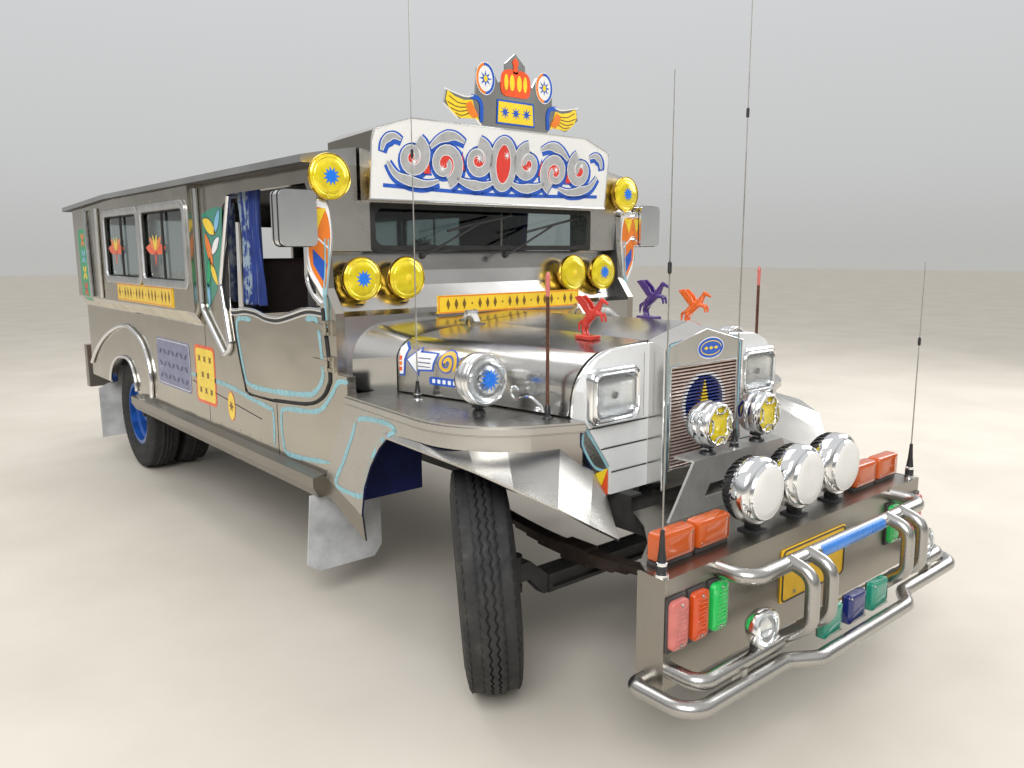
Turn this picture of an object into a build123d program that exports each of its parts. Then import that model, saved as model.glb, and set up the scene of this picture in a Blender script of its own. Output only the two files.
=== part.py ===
"""Jeepney: a long passenger vehicle with a stainless body and open sides, built as separate pieces.

Millimetres. While the pieces are made, y = 0 is near the front axle, the front looks along -Y,
the vehicle's left is +X and the ground is z = 0. Each piece is moved back by FRAME_SHIFT when it
is written, so that the origin ends under the middle of the whole vehicle.
"""
import math
import os

from build123d import *

os.makedirs("parts", exist_ok=True)

# Wheels, axles and steering
TYRE_RADIUS = 400.0
RIM_RADIUS = 203.0
FRONT_AXLE_Y = 45.0
REAR_AXLE_Y = 4080.0
KINGPIN_X = 690.0
SPINDLE_REACH = 100.0
FRONT_CAMBER = 4.0
STEER_LOCK = 35.0
TWIN_CENTRE_X = 628.0
TWIN_SPACING = 225.0
SPINDLE_RADIUS = 20.0
KINGPIN_RADIUS = 15.0
RUNNING_FIT = 0.06
TIE_ARM = 150.0

# Ladder frame
RAIL_OUTER_X = 390.0
RAIL_WIDTH = 60.0
RAIL_BOTTOM = 570.0
RAIL_TOP = 700.0
RAIL_FRONT_Y = -240.0
RAIL_REAR_Y = 4885.0
HORN_HEIGHT = 66.0
RAIL_WALL = 8.0

# Body shell
SIDE_X = 900.0
UPPER_SIDE_X = 950.0
SIDE_WALL = 40.0
SILL_Z = 600.0
BELT_LOW = 1150.0
BELT_HIGH = 1222.0
EAVE_Z = 1900.0
REAR_EAVE_Z = 1868.0
ROOF_RISE = 130.0
ROOF_THICKNESS = 35.0
ROOF_EDGE_X = 975.0
ROOF_FRONT_Y = 1000.0
ROOF_BREAK_Y = 3950.0
BODY_REAR_Y = 4930.0
ROOF_REAR_Y = 5130.0
OVERHANG_FRONT_Y = 2385.0
FLOOR_THICKNESS = 25.0
WINDOW_FRONT_Y = 2450.0
WINDOW_REAR_Y = 4060.0
WINDOW_BOTTOM = 1375.0
WINDOW_TOP = 1800.0

# Cab
COWL_Y = 900.0
COWL_HALF = 830.0
GLASS_Y = 1120.0
GLASS_HALF = 660.0
GLASS_BOTTOM = 1550.0
GLASS_TOP = 1755.0
SCREEN_TOP = 1760.0
CAB_HEADER_Z = 1830.0
DOOR_THICKNESS = 40.0
DOOR_GAP = 7.0
DOOR_HINGE_X = 915.0
DOOR_HINGE_Y = 970.0
DOOR_HINGES_Z = (1090.0, 1240.0)
DOOR_PIN = 5.0
TRIM_RADIUS = 13.0
CREST_X = 100.0

# Front end
FASCIA_Y = -180.0
SHEET = 8.0
FENDER_TOP = 980.0
FENDER_INNER_X = 560.0
FENDER_REAR_Y = 1055.0
HOOD_BASE = 987.0
HOOD_REAR_Y = 740.0
HOOD_FRONT_HALF = 560.0
HOOD_REAR_HALF = 718.0
HOOD_HINGE_Z = 1285.0
HINGE_X = 330.0
HINGE_HALF = 16.0
HOOD_PIN = 6.0
HEADLAMP_X = 428.0
HEADLAMP_Z = 1050.0
SHELL_HALF = 234.0
SHELL_FRONT_Y = -250.0
GRILLE_HALF = 198.0
GRILLE_BOTTOM = 760.0
GRILLE_TOP = 1136.0
SLAT_COUNT = 30
BUMPER_FRONT_Y = -720.0
BUMPER_HALF = 788.0
BUMPER_BOTTOM = 320.0
BUMPER_TOP = 650.0
TUBE_RADIUS = 24.0
BAR_FRONT_Y = -920.0
STEP_BOTTOM = 560.0
STEP_THICKNESS = 20.0
TOW_PIN_Y = 5200.0
TOW_PIN_RADIUS = 16.0

REAR_END_Y = 5350.0
FRONT_END_Y = BAR_FRONT_Y - TUBE_RADIUS
FRAME_SHIFT = -(REAR_END_Y + FRONT_END_Y) / 2.0


def block(x0, x1, y0, y1, z0, z1):
    """Box between two corners."""
    size = (abs(x1 - x0), abs(y1 - y0), abs(z1 - z0))
    centre = ((x0 + x1) / 2.0, (y0 + y1) / 2.0, (z0 + z1) / 2.0)
    return Pos(*centre) * Box(*size)


def flat(plane, outline):
    """Closed straight-sided face on a plane."""
    points = [plane.from_local_coords((u, v, 0)) for u, v in outline]
    return make_face(Polyline(*points, close=True))


def side_plate(outline, x0, x1):
    """Plate from an outline of (y, z), between two x."""
    face = flat(Plane(origin=(x0, 0, 0), x_dir=(0, 1, 0), z_dir=(1, 0, 0)), outline)
    return extrude(face, amount=x1 - x0, dir=(1, 0, 0))


def front_plate(outline, y0, y1):
    """Plate from an outline of (x, z), between two y."""
    face = flat(Plane(origin=(0, y0, 0), x_dir=(1, 0, 0), z_dir=(0, -1, 0)), outline)
    return extrude(face, amount=y1 - y0, dir=(0, 1, 0))


def top_plate(outline, z0, z1):
    """Plate from an outline of (x, y), between two z."""
    face = flat(Plane(origin=(0, 0, z0), x_dir=(1, 0, 0), z_dir=(0, 0, 1)), outline)
    return extrude(face, amount=z1 - z0, dir=(0, 0, 1))


def rod(start, end, radius):
    """Round bar between two points."""
    start, end = Vector(*start), Vector(*end)
    plane = Plane(origin=start, z_dir=end - start)
    return extrude(plane * Circle(radius), amount=(end - start).length)


def bent_tube(points, bend, radius):
    """Round tube along straight runs joined by arcs."""
    path = FilletPolyline(*points, radius=bend)
    start = path @ 0
    section = Plane(origin=start, z_dir=path % 0) * Circle(radius)
    return sweep(section, path=path)


def mirrored(shape):
    """The same piece on the vehicle's other side."""
    return mirror(shape, about=Plane.YZ)


def both(shape):
    return [shape, mirrored(shape)]


def turned(outline, centre, axis):
    """Solid of revolution: outline of (radius, distance along the axis)."""
    face = make_face(Polyline(*[(r, 0, w) for r, w in outline], close=True))
    solid = revolve(face, axis=Axis.Z)
    return Plane(origin=centre, z_dir=axis).location * solid


def solids_of(shapes):
    found = []
    for shape in shapes:
        found.extend(shape.solids())
    return found


def write(name, *shapes):
    """One STEP per piece, moved so that the origin is under the vehicle's middle."""
    solids = [Pos(0, FRAME_SHIFT, 0) * solid for solid in solids_of(shapes)]
    piece = solids[0] if len(solids) == 1 else Compound(children=solids)
    piece.label = name
    export_step(piece, f"parts/{name}.step")
    print(name, len(solids))


# Wheels
TREAD_EDGE = (396.0, 74.0)
TREAD_HALF = 30.0
CAMBER = math.radians(FRONT_CAMBER)
LOCK = math.radians(STEER_LOCK)
HUB_DROP = SPINDLE_REACH * math.sin(CAMBER)
FRONT_HUB_Z = TYRE_RADIUS * math.cos(CAMBER) + TREAD_HALF * math.sin(CAMBER)
KNUCKLE_Z = FRONT_HUB_Z + HUB_DROP

# Tyre section: (radius, offset), outer wall first and then the inner wall
TYRE_HALF = [(RIM_RADIUS + 0.3, 70.4), (224.0, 73.4), (238.0, 90.0), (285.0, 100.0), (335.0, 98.0),
             (378.0, 88.0), TREAD_EDGE]
TYRE_INNER = [(384.0, 62.0), (335.0, 82.0), (285.0, 84.0), (238.0, 74.0), (215.0, 58.0),
              (RIM_RADIUS + 0.3, 56.0)]


def make_tyre(centre, axis):
    outline = TYRE_HALF + [(TYRE_RADIUS, TREAD_HALF), (TYRE_RADIUS, -TREAD_HALF)]
    outline += [(r, -w) for r, w in reversed(TYRE_HALF)]
    outline += [(r, -w) for r, w in reversed(TYRE_INNER)]
    outline += TYRE_INNER
    return turned(outline, centre, axis)


def rim_barrel():
    """Half of a drop-centre rim: (radius, offset)."""
    outer = [(223.0, 80.0), (223.0, 74.0), (RIM_RADIUS, 71.0), (RIM_RADIUS, 34.0), (186.0, 22.0)]
    inner = [(180.0, 26.0), (197.0, 40.0), (197.0, 80.0)]
    return outer, inner


def make_rim(centre, axis, disc_offset, hub, bore):
    """Rim, its dished disc with hand holes, and the hub that turns on the spindle.

    disc_offset is where the disc's flat is, from the tyre's middle along the axis.
    hub is (inner end, outer end, radius) and bore is the spindle's hole.
    """
    outer, inner = rim_barrel()
    outline = outer + [(r, -w) for r, w in reversed(outer)]
    outline += [(r, -w) for r, w in reversed(inner)] + inner
    barrel = turned(outline, (0, 0, 0), (0, 0, 1))
    knee = math.copysign(14.0, disc_offset) - 5.0
    disc = turned([(184.0, knee), (184.0, knee + 10), (130.0, disc_offset + 6),
                   (55.0, disc_offset + 6), (55.0, disc_offset - 6), (126.0, disc_offset - 6)],
                  (0, 0, 0), (0, 0, 1))
    for index in range(6):
        angle = math.radians(60.0 * index + 30.0)
        hole = Pos(150.0 * math.cos(angle), 150.0 * math.sin(angle), 0)
        disc -= hole * Cylinder(17.0, 400.0)
    start, end, radius = hub
    core = Pos(0, 0, (start + end) / 2.0) * Cylinder(radius, end - start)
    wheel = barrel + disc + core
    wheel -= Pos(0, 0, (start + end) / 2.0) * Cylinder(bore, end - start + 2)
    return Plane(origin=centre, z_dir=axis).location * wheel


def steered(shape, side):
    """Turns a front piece from straight ahead to full lock to the vehicle's right."""
    pivot = (side * KINGPIN_X, 0, 0)
    return Pos(*pivot) * Rot(0, 0, -STEER_LOCK) * Pos(-pivot[0], 0, 0) * shape


EAR_RADIUS = 34.0
AXLE_EYE_HALF = 40.0
EAR_GAP = 3.0
EAR_THICKNESS = 24.0
ARM_THICKNESS = 18.0
EAR_TOP = AXLE_EYE_HALF + EAR_GAP + EAR_THICKNESS
ARM_BOTTOM = KNUCKLE_Z - EAR_TOP
STUD_RADIUS = 8.0
TIE_HOUSING = (18.0, 28.0)


def front_axis(side):
    return (side * math.cos(CAMBER), 0, -math.sin(CAMBER))


def front_centre(side):
    return (side * (KINGPIN_X + SPINDLE_REACH * math.cos(CAMBER)), 0, FRONT_HUB_Z)


def front_point(side, reach):
    """A point on the front wheel's axis, from the kingpin."""
    x, _, z = front_axis(side)
    return (side * KINGPIN_X + reach * x, 0, KNUCKLE_Z + reach * z)


def make_knuckle(side, stud_hole):
    """Fork round the axle's eye, spindle, backing plate and the arm to the tie rod."""
    x = side * KINGPIN_X
    web_in, web_out = x + side * 40.0, x + side * 64.0
    body = block(web_in, web_out, -36, 36, KNUCKLE_Z - EAR_TOP, KNUCKLE_Z + EAR_TOP)
    for low in (-EAR_TOP, AXLE_EYE_HALF + EAR_GAP):
        z0 = KNUCKLE_Z + low
        ear = Pos(x, 0, z0 + EAR_THICKNESS / 2.0) * Cylinder(EAR_RADIUS, EAR_THICKNESS)
        body += ear + block(x, web_in, -EAR_RADIUS, EAR_RADIUS, z0, z0 + EAR_THICKNESS)
    arm = Pos(x, TIE_ARM / 2.0, ARM_BOTTOM + ARM_THICKNESS / 2.0)
    arm *= extrude(Rot(0, 0, 90) * SlotCenterToCenter(TIE_ARM, 44.0), amount=ARM_THICKNESS / 2.0,
                   both=True)
    body += arm
    body += rod(front_point(side, 50.0), front_point(side, SPINDLE_REACH + 40.0), SPINDLE_RADIUS)
    body += rod(front_point(side, 50.0), front_point(side, 56.0), 165.0)
    pin_hole = KINGPIN_RADIUS + RUNNING_FIT
    body -= Pos(x, 0, KNUCKLE_Z) * Cylinder(pin_hole, 2 * EAR_TOP + 2)
    body -= Pos(x, TIE_ARM, ARM_BOTTOM) * Cylinder(stud_hole, 60.0)
    return steered(body, side)


def make_front_wheel(side):
    centre, axis = front_centre(side), front_axis(side)
    tyre = make_tyre(centre, axis)
    hub = (-28.0, 78.0, 56.0)
    rim = make_rim(centre, axis, 55.0, hub, SPINDLE_RADIUS + RUNNING_FIT)
    drum = turned([(150.0, -38.0), (158.0, -38.0), (158.0, 20.0), (50.0, 34.0), (50.0, 26.0),
                   (150.0, 13.0)], centre, axis)
    return steered(tyre, side), steered(rim + drum, side)


def make_rear_wheels(side):
    axis = (side, 0, 0)
    outer_x = TWIN_CENTRE_X + TWIN_SPACING / 2.0
    inner_x = TWIN_CENTRE_X - TWIN_SPACING / 2.0
    bore = REAR_SPINDLE + RUNNING_FIT
    disc = TWIN_SPACING / 2.0 - 6.0
    tyres = [make_tyre((side * x, REAR_AXLE_Y, TYRE_RADIUS), axis) for x in (outer_x, inner_x)]
    outer = make_rim((side * outer_x, REAR_AXLE_Y, TYRE_RADIUS), axis, -disc,
                     (-disc - 8.0, 30.0, 62.0), bore)
    inner = make_rim((side * inner_x, REAR_AXLE_Y, TYRE_RADIUS), axis, disc,
                     (-70.0, disc + 8.0, 62.0), bore)
    return tyres, outer + inner


REAR_SPINDLE = 30.0
AXLE_TUBE = 48.0


def make_front_axle():
    """Dropped I-beam with an eye and a kingpin at each end."""
    low, high = 300.0, 370.0
    beam = block(-540, 540, -30, 30, low, high)
    for y in (-30, 30):
        inward = 1 if y < 0 else -1
        beam -= block(-520, 520, y, y + inward * 20, low + 14, high - 14)
    for side in (-1, 1):
        x = side * KINGPIN_X
        beam += side_neck(side, low, high)
        beam += Pos(x, 0, KNUCKLE_Z) * Cylinder(30.0, 2 * AXLE_EYE_HALF)
        beam += Pos(x, 0, KNUCKLE_Z) * Cylinder(KINGPIN_RADIUS, 2 * EAR_TOP + 6)
    return beam


def side_neck(side, low, high):
    """The beam's raised end, from its straight part to the kingpin's eye."""
    top, bottom = KNUCKLE_Z + 34.0, KNUCKLE_Z - 34.0
    outline = [(side * 540.0, low), (side * 560.0, low), (side * 630.0, bottom),
               (side * KINGPIN_X, bottom), (side * KINGPIN_X, top), (side * 625.0, top),
               (side * 540.0, high)]
    return front_plate(outline, -24, 24)


def make_rear_axle():
    """Banjo axle with its spindles, and the shaft from the gearbox."""
    y, z = REAR_AXLE_Y, TYRE_RADIUS
    end = TWIN_CENTRE_X + TWIN_SPACING / 2.0 + 45.0
    axle = rod((-400, y, z), (400, y, z), AXLE_TUBE)
    axle += rod((-end, y, z), (end, y, z), REAR_SPINDLE)
    axle += Pos(0, y, z) * Rot(90, 0, 0) * Cylinder(155.0, 120.0)
    axle += Pos(0, y + 60, z) * Sphere(95.0)
    axle += rod((0, y - 60, z), (0, y - 230, z), 55.0)
    shaft_front = (0, GEARBOX_REAR_Y, 610.0)
    axle += rod((0, y - 215, z), shaft_front, 36.0)
    axle -= block(-60, 60, GEARBOX_REAR_Y - 200, GEARBOX_REAR_Y, 500, 720)
    return axle


GEARBOX_REAR_Y = 1500.0


def make_engine():
    """Engine and gearbox as one plain block on its mounts."""
    engine = block(-210, 210, 130, 850, 500, 960)
    engine += block(-140, 140, 850, GEARBOX_REAR_Y, 520, 690)
    for side in (-1, 1):
        engine += block(side * 200, side * (RAIL_OUTER_X - 10), 420, 520, RAIL_TOP, RAIL_TOP + 40)
    return engine


# Cross members: y, bottom, top
CROSS_MEMBERS = [(-140.0, 596.0, 640.0), (1650.0, 650.0, 692.0), (2500.0, 650.0, 692.0),
                 (3080.0, 650.0, 692.0), (4855.0, 650.0, 692.0)]
EXHAUST_HANGERS = (1650.0, 3080.0)


def make_frame():
    """Two channel rails, cross members, and the brackets that carry the bumpers."""
    inner_x = RAIL_OUTER_X - RAIL_WIDTH
    frame = None
    for side in (-1, 1):
        rail = block(side * inner_x, side * RAIL_OUTER_X, RAIL_FRONT_Y, RAIL_REAR_Y,
                     RAIL_BOTTOM, RAIL_TOP)
        rail -= block(side * (inner_x - 1), side * (RAIL_OUTER_X - RAIL_WALL), RAIL_FRONT_Y - 1,
                      RAIL_REAR_Y + 1, RAIL_BOTTOM + RAIL_WALL, RAIL_TOP - RAIL_WALL)
        rail += block(side * inner_x, side * RAIL_OUTER_X, RAIL_FRONT_Y + 40,
                      BUMPER_FRONT_Y + SHEET, RAIL_BOTTOM, RAIL_BOTTOM + HORN_HEIGHT)
        frame = rail if frame is None else frame + rail
    web = RAIL_OUTER_X - RAIL_WALL
    for y, low, high in CROSS_MEMBERS:
        frame += block(-web, web, y - 30, y + 30, low, high)
    return frame


# Leaf springs: axle y, half length, seat height
SPRINGS = [(FRONT_AXLE_Y, 480.0, 370.0), (REAR_AXLE_Y, 620.0, 448.0)]
LEAF_THICKNESS = 9.0
LEAF_COUNT = 5
SPRING_X = 360.0
SPRING_HALF = 28.0


def make_spring(axle_y, half, seat):
    """Stacked leaves under the rail, with hangers at both ends and bolts round the axle."""
    low = seat + 12.0
    pack = None
    rise = 40.0
    for leaf in range(LEAF_COUNT):
        reach = half * (0.42 + 0.145 * leaf)
        z = low + leaf * LEAF_THICKNESS
        tip = z + rise * (reach / half) ** 2
        under = ThreePointArc((0, axle_y - reach, tip), (0, axle_y, z), (0, axle_y + reach, tip))
        over = ThreePointArc((0, axle_y - reach, tip + LEAF_THICKNESS),
                             (0, axle_y, z + LEAF_THICKNESS),
                             (0, axle_y + reach, tip + LEAF_THICKNESS))
        ends = [Line(under @ 0, over @ 0), Line(under @ 1, over @ 1)]
        face = make_face([under, over] + ends)
        strip = extrude(face, amount=SPRING_HALF, dir=(1, 0, 0), both=True)
        pack = strip if pack is None else pack + strip
    top = low + LEAF_COUNT * LEAF_THICKNESS
    eye_z = low + (LEAF_COUNT - 0.5) * LEAF_THICKNESS + rise
    for end in (-1, 1):
        y = axle_y + end * half
        pack += Pos(0, y, eye_z) * Rot(0, 90, 0) * Cylinder(20.0, 2 * SPRING_HALF)
        pack += block(-SPRING_HALF, SPRING_HALF, y - 16, y + 16, eye_z, RAIL_BOTTOM)
    pack += block(-SPRING_HALF, SPRING_HALF, axle_y - 70, axle_y + 70, seat, low + 6)
    pack += block(-SPRING_HALF - 8, SPRING_HALF + 8, axle_y - 70, axle_y + 70, top - 4, top + 12)
    return pack


def make_springs():
    springs = []
    for axle_y, half, seat in SPRINGS:
        for side in (-1, 1):
            springs.append(Pos(side * SPRING_X, 0, 0) * make_spring(axle_y, half, seat))
    return springs


def make_exhaust():
    """Pipe, silencer and a tail that turns out ahead of the left rear wheel."""
    route = [(265, 700, 520), (265, 2050, 500), (265, 3150, 500), (330, 3380, 500), (860, 3420, 490)]
    pipe = bent_tube(route, [60, 60, 60], 24.0)
    pipe += Pos(265, 2450, 500) * Rot(90, 0, 0) * Cylinder(68.0, 620.0)
    for y in EXHAUST_HANGERS:
        pipe += block(255, 275, y - 14, y + 14, 505, CROSS_MEMBERS[1][1])
    return pipe


def make_tank():
    tank = block(-845, -420, 1950, 2700, 470, 660)
    tank = fillet(tank.edges().filter_by(Axis.Y), 45.0)
    for y in (2080.0, 2570.0):
        tank += block(-840, -425, y - 20, y + 20, 640, RAIL_TOP)
    return tank


# Wheel boxes in the floor
BOX_FRONT_Y = REAR_AXLE_Y - 455.0
BOX_REAR_Y = REAR_AXLE_Y + 455.0
BOX_TOP = 870.0
WHEEL_BOX_X = 392.0
BENCH_INNER_X = 420.0
BENCH_TOP = 1030.0


def make_floor():
    """Flat cab and passenger floor, cut out round the rear wheels."""
    inner = SIDE_X - SIDE_WALL
    floor = block(-inner, inner, COWL_Y + 20, BODY_REAR_Y - SIDE_WALL, RAIL_TOP,
                  RAIL_TOP + FLOOR_THICKNESS)
    for side in (-1, 1):
        floor -= block(side * WHEEL_BOX_X, side * (inner + 1), BOX_FRONT_Y - SHEET, BOX_REAR_Y + SHEET,
                       RAIL_TOP - 1, RAIL_TOP + FLOOR_THICKNESS + 1)
    return floor


def make_bench_frames():
    """Bench risers and boards along both sides, each in one with its wheel box."""
    inner = SIDE_X - SIDE_WALL
    rear = BODY_REAR_Y - SIDE_WALL
    frames = []
    for side in (-1, 1):
        box = block(side * WHEEL_BOX_X, side * inner, BOX_FRONT_Y - SHEET, BOX_REAR_Y + SHEET,
                    RAIL_TOP, BOX_TOP + SHEET)
        riser = block(side * BENCH_INNER_X, side * (BENCH_INNER_X + 20), 2180, rear,
                      RAIL_TOP + FLOOR_THICKNESS, BENCH_TOP)
        seat = block(side * BENCH_INNER_X, side * inner, 2180, rear, BENCH_TOP - 20, BENCH_TOP)
        void = block(side * (WHEEL_BOX_X + SHEET), side * (inner + 1), BOX_FRONT_Y, BOX_REAR_Y,
                     RAIL_TOP - 1, BOX_TOP)
        frames.append(box + riser + seat - void)
    return frames


# Side outline pieces, as (y, z)
DOOR_OUTLINE = [(962, 1060), (1010, 1322), (1200, 1312), (1330, 1285), (1580, 1265), (1992, 1270),
                (1960, 1120), (1880, 900), (1830, 850), (1530, 855), (1200, 885), (1060, 925),
                (985, 985)]


def outline_gap(outline, gap):
    """Outline pushed outwards by a gap, as a face on the side plane."""
    face = flat(Plane(origin=(0, 0, 0), x_dir=(0, 1, 0), z_dir=(1, 0, 0)), outline)
    return offset(face, amount=gap)


# Rear wheel opening and the moulding round it, as (y, z)
WHEEL_OPENING = [(3745, 600), (3756, 680), (3810, 762), (3990, 812), (4200, 775), (4350, 675),
                 (4385, 600)]
WHEEL_LIP = [(y, z + 16) for y, z in WHEEL_OPENING]
LIP_RADIUS = 10.0
ARCH_MOULDING = [(3400, 620), (3420, 850), (3500, 950), (3630, 1012), (3810, 1050), (4140, 1020),
                 (4430, 940), (4700, 820), (4880, 700)]


def wheel_opening():
    """Opening in the body's side over the rear wheels, as a face on the side plane."""
    points = [Vector(0, y, z) for y, z in WHEEL_OPENING]
    foot = [points[-1], Vector(0, points[-1].Y, 300), Vector(0, points[0].Y, 300), points[0]]
    return make_face([Spline(*points), Polyline(*foot)])


def make_body_side(side):
    """One stainless side from the cowl to the rear, with its openings cut."""
    x0, x1 = side * (SIDE_X - SIDE_WALL), side * SIDE_X
    u0, u1 = side * (UPPER_SIDE_X - SIDE_WALL), side * UPPER_SIDE_X
    post_rear = OVERHANG_FRONT_Y + 40
    lower = side_plate([(825, 975), (1030, SILL_Z), (BODY_REAR_Y, SILL_Z), (BODY_REAR_Y, BELT_LOW),
                        (post_rear, BELT_LOW), (post_rear, EAVE_Z), (ROOF_FRONT_Y, EAVE_Z),
                        (ROOF_FRONT_Y, 1700), (975, 1400), (COWL_Y, 1300), (COWL_Y, 1050),
                        (825, 1050)], x0, x1)
    profile = [(x0, BELT_LOW - 60), (x1, BELT_LOW - 60), (x1, BELT_LOW), (u1, BELT_HIGH),
               (u1, EAVE_Z), (u0, EAVE_Z), (u0, BELT_HIGH + 10), (x0, BELT_LOW + 10)]
    upper = front_plate(profile, OVERHANG_FRONT_Y, BODY_REAR_Y)
    post = block(x0, u1, OVERHANG_FRONT_Y, OVERHANG_FRONT_Y + 40, BELT_HIGH, EAVE_Z)
    shell = lower + upper + post
    shell -= extrude(outline_gap(DOOR_OUTLINE, DOOR_GAP), amount=2000, dir=(1, 0, 0), both=True)
    cab_opening = [(1060, 1260), (1060, SCREEN_TOP - 30), (1120, CAB_HEADER_Z), (1940, CAB_HEADER_Z),
                   (1975, 1790), (2000, 1275)]
    shell -= side_plate(cab_opening, -1200, 1200)
    shell -= extrude(wheel_opening(), amount=1200, dir=(1, 0, 0), both=True)
    for y0, y1 in window_bays():
        shell -= block(side * 800, side * 1000, y0, y1, WINDOW_BOTTOM, WINDOW_TOP)
    roof_drop = [(ROOF_BREAK_Y, EAVE_Z), (BODY_REAR_Y + 10, REAR_EAVE_Z), (BODY_REAR_Y + 10, EAVE_Z + 10),
                 (ROOF_BREAK_Y, EAVE_Z + 10)]
    shell -= side_plate(roof_drop, -1200, 1200)
    for z in DOOR_HINGES_Z:
        shell += door_swing(side, z, "body")
    return shell


WINDOW_POST = 60.0


def window_bays():
    middle = (WINDOW_FRONT_Y + WINDOW_REAR_Y) / 2.0
    return [(WINDOW_FRONT_Y, middle - WINDOW_POST / 2), (middle + WINDOW_POST / 2, WINDOW_REAR_Y)]


def make_side_glass():
    panes = []
    for side in (-1, 1):
        for y0, y1 in window_bays():
            panes.append(block(side * 927, side * 933, y0, y1, WINDOW_BOTTOM, WINDOW_TOP))
    panes.append(block(-GLASS_HALF, GLASS_HALF, GLASS_Y, GLASS_Y + 6, GLASS_BOTTOM, GLASS_TOP))
    return panes


def roof_section(y, eave, edge, rise, low):
    """Arched roof section: top arc, drip edges, and a flat underside."""
    left = (-edge, y, eave + 30)
    right = (edge, y, eave + 30)
    arc = ThreePointArc(left, (0, y, eave + rise), right)
    rest = Polyline(right, (edge, y, eave - low), (-edge, y, eave - low), left)
    return make_face([arc, rest])


def roof_loft(edge, rise, low, front, rear):
    sections = [roof_section(front, EAVE_Z, edge, rise, low),
                roof_section(ROOF_BREAK_Y, EAVE_Z, edge, rise, low),
                roof_section(rear, eave_at(rear), edge, rise, low)]
    return loft(sections, ruled=True)


def eave_at(y):
    slope = (EAVE_Z - REAR_EAVE_Z) / (BODY_REAR_Y + 10 - ROOF_BREAK_Y)
    return EAVE_Z - slope * (y - ROOF_BREAK_Y)


def make_roof():
    """Hollow arched roof with a drip edge, closed at the front corners, notched for the headboard."""
    outer = roof_loft(ROOF_EDGE_X, ROOF_RISE, 0, ROOF_FRONT_Y, ROOF_REAR_Y)
    roof = outer - roof_inside()
    roof += outer & block(-ROOF_EDGE_X, ROOF_EDGE_X, ROOF_FRONT_Y, ROOF_FRONT_Y + SHEET, EAVE_Z - 10, 2100)
    for side in (-1, 1):
        roof += block(side * (SIDE_X - SIDE_WALL + 2), side * (UPPER_SIDE_X - SIDE_WALL + 5), ROOF_FRONT_Y,
                      OVERHANG_FRONT_Y + 40, EAVE_Z, EAVE_Z + 10)
    notch = [(-722, ROOF_FRONT_Y - 10), (722, ROOF_FRONT_Y - 10), (755, HEADBOARD_REAR_Y + 6),
             (-755, HEADBOARD_REAR_Y + 6)]
    return roof - top_plate(notch, 1800, 2100)


def roof_inside():
    inner_edge = UPPER_SIDE_X - SIDE_WALL
    return roof_loft(inner_edge, ROOF_RISE - ROOF_THICKNESS, 60, ROOF_FRONT_Y - 5, ROOF_REAR_Y + 5)


def make_rear_wall():
    """Rear panels either side of the open doorway, with a header up to the roof."""
    y0, y1 = BODY_REAR_Y - SIDE_WALL, BODY_REAR_Y
    x = SIDE_X - SIDE_WALL
    upper_x = UPPER_SIDE_X - SIDE_WALL
    top = REAR_EAVE_Z
    outline = [(-x, SILL_Z), (-340, SILL_Z), (-340, 1800), (340, 1800), (340, SILL_Z), (x, SILL_Z),
               (x, BELT_LOW + 10), (upper_x, BELT_HIGH + 10), (upper_x, top), (-upper_x, top),
               (-upper_x, BELT_HIGH + 10), (-x, BELT_LOW + 10)]
    wall = front_plate(outline, y0, y1)
    wall += roof_inside() & block(-upper_x, upper_x, y0, y1, top - 1, 2050)
    for side in (-1, 1):
        wall -= block(side * 430, side * 820, y0 - 5, y1 + 5, WINDOW_BOTTOM, WINDOW_TOP - 40)
    return wall


def arch_section(y, half, shoulder, knee, crown, ridge, base):
    """Hood-like section: upright sides, round shoulders, a sloping top and a ridge in the middle."""
    corner = 0.15 * half
    sides = []
    for side in (-1, 1):
        top = (side * half, y, shoulder)
        bend = (side * (half - 0.3 * corner), y, shoulder + 0.62 * (knee - shoulder))
        end = (side * (half - corner), y, knee)
        middle = (side * (0.7 * half - 0.5 * corner), y, (knee + crown) / 2.0 + 5.0)
        brow = (side * 0.4 * half, y, crown)
        sides.append([Line((side * half, y, base), top), ThreePointArc(top, bend, end),
                      ThreePointArc(end, middle, brow), Line(brow, (0, y, ridge))])
    edges = sides[0] + sides[1][::-1] + [Line((half, y, base), (-half, y, base))]
    return make_face(edges)


def hood_form(stations, base, inset):
    """Solid inside the hood's outer face, or inside its sheet."""
    sections = [arch_section(y, half - inset, shoulder, knee - inset, crown - inset, ridge - inset, base)
                for y, half, shoulder, knee, crown, ridge in stations]
    return loft(sections, ruled=True)


# Hood stations: y, half width, shoulder height, knee height, brow height, ridge height
HOOD_STATIONS = [(-160.0, HOOD_FRONT_HALF, 1085.0, 1203.0, 1228.0, 1286.0),
                 (300.0, 628.0, 1100.0, 1205.0, 1238.0, 1280.0),
                 (HOOD_REAR_Y, HOOD_REAR_HALF, 1125.0, 1208.0, 1244.0, 1272.0)]
SLEEVE_STATIONS = [HOOD_STATIONS[-1], (COWL_Y, COWL_HALF, 1110.0, 1250.0, 1264.0, 1274.0)]


def arch_shell(stations, base, wall):
    """Sheet that follows arch sections."""
    return hood_form(stations, base, 0.0) - hood_form(stations, base - 50, wall)


def hood_arm(x):
    """Hinge arm on the hood with its barrel."""
    arm = side_plate([(664, 1228), (722, 1228), (748, 1280), (732, HOOD_HINGE_Z + 9), (722, 1282),
                      (700, 1250), (664, 1246)], x - HINGE_HALF, x + HINGE_HALF)
    return arm + Pos(x, HOOD_REAR_Y, HOOD_HINGE_Z) * Rot(0, 90, 0) * Cylinder(12.0, 2 * HINGE_HALF)


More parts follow.
